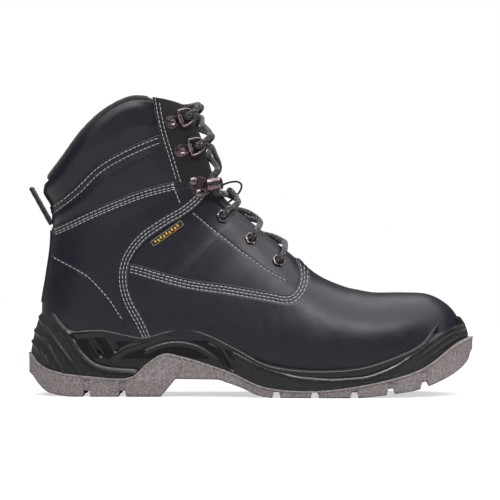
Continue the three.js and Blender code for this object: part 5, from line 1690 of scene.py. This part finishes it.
def woven_look(name, dark, light, scale, rough=0.9, sheen=0.2, depth=0.0003):
    look = Look(name, Roughness=rough, Sheen_Weight=sheen)
    warp = look.node("ShaderNodeTexWave", {"Vector": look.place}, Scale=scale, Distortion=0.4).outputs["Fac"]
    weft = look.node("ShaderNodeTexWave", {"Vector": look.place}, bands_direction="Z", Scale=scale,
                     Distortion=0.4).outputs["Fac"]
    weave = look.math("MULTIPLY", warp, weft)
    look.colour(look.math("MULTIPLY", look.spread(weave, 0.1, 0.9), look.noise(300, 3)), dark, light)
    look.bump(weave, depth, 0.6)
    return look.material


def mesh_look():
    look = Look("mesh_lining", Roughness=0.9, Sheen_Weight=0.25)
    holes = look.spread(look.cells(650), 0.15, 0.42)
    look.colour(holes, (0.030, 0.030, 0.033), (0.006, 0.006, 0.007))
    look.bump(look.math("SUBTRACT", 1.0, holes), 0.0006, 0.7)
    return look.material


def foam_look():
    look = Look("foam", Roughness=0.95)
    look.colour(look.noise(120, 3), (0.030, 0.030, 0.032), (0.060, 0.060, 0.063))
    look.bump(look.cells(1400), 0.0004, 0.8)
    return look.material


def board_look():
    look = Look("fibre_board", Roughness=0.85)
    look.colour(look.noise(240, 5, 0.7), (0.28, 0.20, 0.11), (0.42, 0.32, 0.19))
    look.bump(look.noise(1000, 3), 0.0003, 0.6)
    return look.material


GUNMETAL_LOOK = metal_look("gunmetal", (0.115, 0.080, 0.085), 0.24, (0.27, 0.21, 0.22))
STEEL_LOOK = metal_look("bare_steel", (0.42, 0.42, 0.43), 0.34, (0.56, 0.56, 0.57))
LACE_LOOK = lace_look()
WEBBING_LOOK = woven_look("webbing", (0.012, 0.012, 0.013), (0.075, 0.075, 0.080), 300)
BINDING_LOOK = woven_look("binding_fabric", (0.008, 0.008, 0.009), (0.035, 0.035, 0.038), 260)
FOOTBED_LOOK = woven_look("footbed_fabric", (0.015, 0.015, 0.017), (0.050, 0.050, 0.055), 200)
LABEL_LOOK = woven_look("label_fabric", (0.006, 0.006, 0.006), (0.022, 0.022, 0.022), 500, depth=0.0001)
BORDER_LOOK = woven_look("label_border", (0.30, 0.26, 0.16), (0.48, 0.42, 0.26), 500, depth=0.0001)
MARK_LOOK = woven_look("label_marks", (0.62, 0.30, 0.02), (0.90, 0.52, 0.05), 500, depth=0.0001)
LINING_LOOK = mesh_look()
FOAM_LOOK = foam_look()
BOARD_LOOK = board_look()

for number, mounts in enumerate(ROWS, 1):
    for side, mount in zip(SIDES, mounts):
        if number <= len(EYELETS):
            build_eyelet(f"eyelet_{number}_{side}", mount)
        elif number == len(EYELETS) + 1:
            build_lock(side, mount)
        else:
            build_ring_row(number - len(EYELETS) - 1, side, mount)
build_lace()
build_binding()
build_tab()
build_label()
build_keeper()
build_footbed()

COARSE_PATCH = leather_patch(3)
COARSE_PATCH.values["rim"] = COARSE_PATCH.values["collar"] - 5.8
COARSE_PATCH.values["setback"] = COARSE_PATCH.values["throat"] - 14
skin_sheet("lining", ["vamp_lining", "quarter_lining_outer", "quarter_lining_inner"], LINING_LOOK,
           [("rim", 0), ("setback", 0)], lambda v: LINING_TOP + collar_padding(v),
           lambda v: LINING_BOTTOM + collar_padding(v))
skin_sheet("collar_foam", ["collar_foam"], FOAM_LOOK, [("rim", 0), ("u", section(17)), ("share", 0.4)],
           lambda v: np.full(len(v["u"]), CAP_TOP), lambda v: CAP_BOTTOM + collar_padding(v))
layer_sheet("steel_toe_cap", "steel_toe_cap", STEEL_LOOK, (0, section(6)),
            lambda u: (-np.ones_like(u), np.ones_like(u)),
            (CAP_TOP, CAP_BOTTOM), (50, 90))
layer_sheet("toe_cap_edge_pad", "toe_cap_edge_pad", FOAM_LOOK, (section(6.05), section(6.95)),
            lambda u: (-0.9 * np.ones_like(u), 0.9 * np.ones_like(u)), (CAP_TOP, CAP_BOTTOM),
            (6, 90))
layer_sheet("backstay", "backstay", LEATHER_LOOK, (section(15.15), section(17.5)),
            lambda u: (0.965 * np.ones_like(u), 1.035 * np.ones_like(u)), (-2.4, -0.6),
            (60, 12))
layer_sheet("tongue_face", "tongue_face", NUBUCK_LOOK, (TONGUE_START, TONGUE_END), tongue_span,
            (TONGUE_TOP, TONGUE_TOP + TONGUE_FACE), (90, 50), crown=0.5)
foam_top = TONGUE_TOP + TONGUE_FACE + 0.3
layer_sheet("tongue_padding", "tongue_padding", FOAM_LOOK, (TONGUE_START, TONGUE_END), tongue_span,
            (foam_top, foam_top + TONGUE_FOAM), (60, 30))
layer_sheet("tongue_lining", "tongue_lining", LINING_LOOK, (TONGUE_START, TONGUE_END), tongue_span,
            (foam_top + TONGUE_FOAM + 0.3, foam_top + TONGUE_FOAM + 0.3 + TONGUE_FACE),
            (60, 30))
for side, sign in SIDES.items():
    layer_sheet("tongue_gusset_" + side, "tongue_gusset_" + side, LINING_LOOK, (section(10), section(16)),
                gusset_span(sign), (LINING_BOTTOM + 1.6, LINING_BOTTOM + 2.4), (40, 8))
for node, look in (("heel_counter", BOARD_LOOK), ("insole_board", BOARD_LOOK),
                   ("steel_midsole_plate", STEEL_LOOK)):
    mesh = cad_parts[node].data
    mesh.materials.clear()
    mesh.materials.append(look)


# ---------------------------------------------------------------- camera, floor and light


CAMERA_DISTANCE = 2600
CAMERA_AZIMUTH = math.radians(1)
CAMERA_ELEVATION = math.radians(1)
CAMERA_TARGET = (-0.5, 0, 99.6)
FIELD_WIDTH = 345               # width that the picture shows at the target
SENSOR_WIDTH = 36
FLOOR_HALF = 1.3                # metres
FLOOR_GLOW = 0.6                # added for the camera alone, so that the floor stays white
WORLD_GLOW = 0.09               # share of the world's white that lights the boot


def add_camera():
    distance, azimuth, elevation = CAMERA_DISTANCE, CAMERA_AZIMUTH, CAMERA_ELEVATION
    target = Vector(CAMERA_TARGET)
    flat = math.cos(elevation)
    offset = Vector((math.sin(azimuth) * flat, -math.cos(azimuth) * flat, math.sin(elevation)))
    data = bpy.data.cameras.new("camera")
    camera = bpy.data.objects.new("camera", data)
    camera.location = (target + distance * offset) * MM
    camera.rotation_euler = (-offset).to_track_quat("-Z", "Y").to_euler()
    data.sensor_width = SENSOR_WIDTH
    data.lens = SENSOR_WIDTH * distance / FIELD_WIDTH
    bpy.context.scene.collection.objects.link(camera)
    bpy.context.scene.camera = camera


def add_floor():
    size = FLOOR_HALF
    mesh = bpy.data.meshes.new("floor")
    mesh.from_pydata([(-size, -size, 0), (size, -size, 0), (size, size, 0), (-size, size, 0)], [],
                     [(0, 1, 2, 3)])
    look = Look("floor", Roughness=0.9)
    look.shader.inputs["Base Color"].default_value = (0.5, 0.5, 0.5, 1)
    look.shader.inputs["Specular IOR Level"].default_value = 0.1
    look.shader.inputs["Emission Color"].default_value = (1, 1, 1, 1)
    seen = look.node("ShaderNodeLightPath").outputs["Is Camera Ray"]
    look.tree.links.new(look.math("MULTIPLY", seen, FLOOR_GLOW), look.shader.inputs["Emission Strength"])
    mesh.materials.append(look.material)
    floor = bpy.data.objects.new("floor", mesh)
    bpy.context.scene.collection.objects.link(floor)


def add_light(name, place, target, size, power):
    data = bpy.data.lights.new(name, "AREA")
    data.shape = "RECTANGLE"
    data.size, data.size_y = size
    data.energy = power
    light = bpy.data.objects.new(name, data)
    light.location = place
    light.rotation_euler = (Vector(place) - Vector(target)).to_track_quat("Z", "Y").to_euler()
    bpy.context.scene.collection.objects.link(light)


def add_world():
    """Pale studio: white where the camera sees it, dimmer as a source of light."""
    world = bpy.data.worlds.new("studio")
    world.use_nodes = True
    tree = world.node_tree
    background = tree.nodes["Background"]
    background.inputs["Color"].default_value = (1, 1, 1, 1)
    path = tree.nodes.new("ShaderNodeLightPath")
    strength = tree.nodes.new("ShaderNodeMapRange")
    strength.inputs["To Min"].default_value = WORLD_GLOW
    strength.inputs["To Max"].default_value = 1.0
    tree.links.new(path.outputs["Is Camera Ray"], strength.inputs["Value"])
    tree.links.new(strength.outputs["Result"], background.inputs["Strength"])
    bpy.context.scene.world = world


add_camera()
add_floor()
add_world()
add_light("top", (0.2, -0.2, 2.6), (0, 0, 0), (5, 5), 200)
add_light("front", (-0.6, -1.9, 1.0), (0, 0, 0.1), (0.9, 0.9), 4)
add_light("strip", (0, -1.5, 1.7), (0, 0, 0.05), (2.6, 0.10), 30)
add_light("toe", (1.9, -0.6, 0.8), (0, 0, 0.08), (0.6, 0.9), 4)
bpy.context.scene.view_settings.view_transform = "Standard"
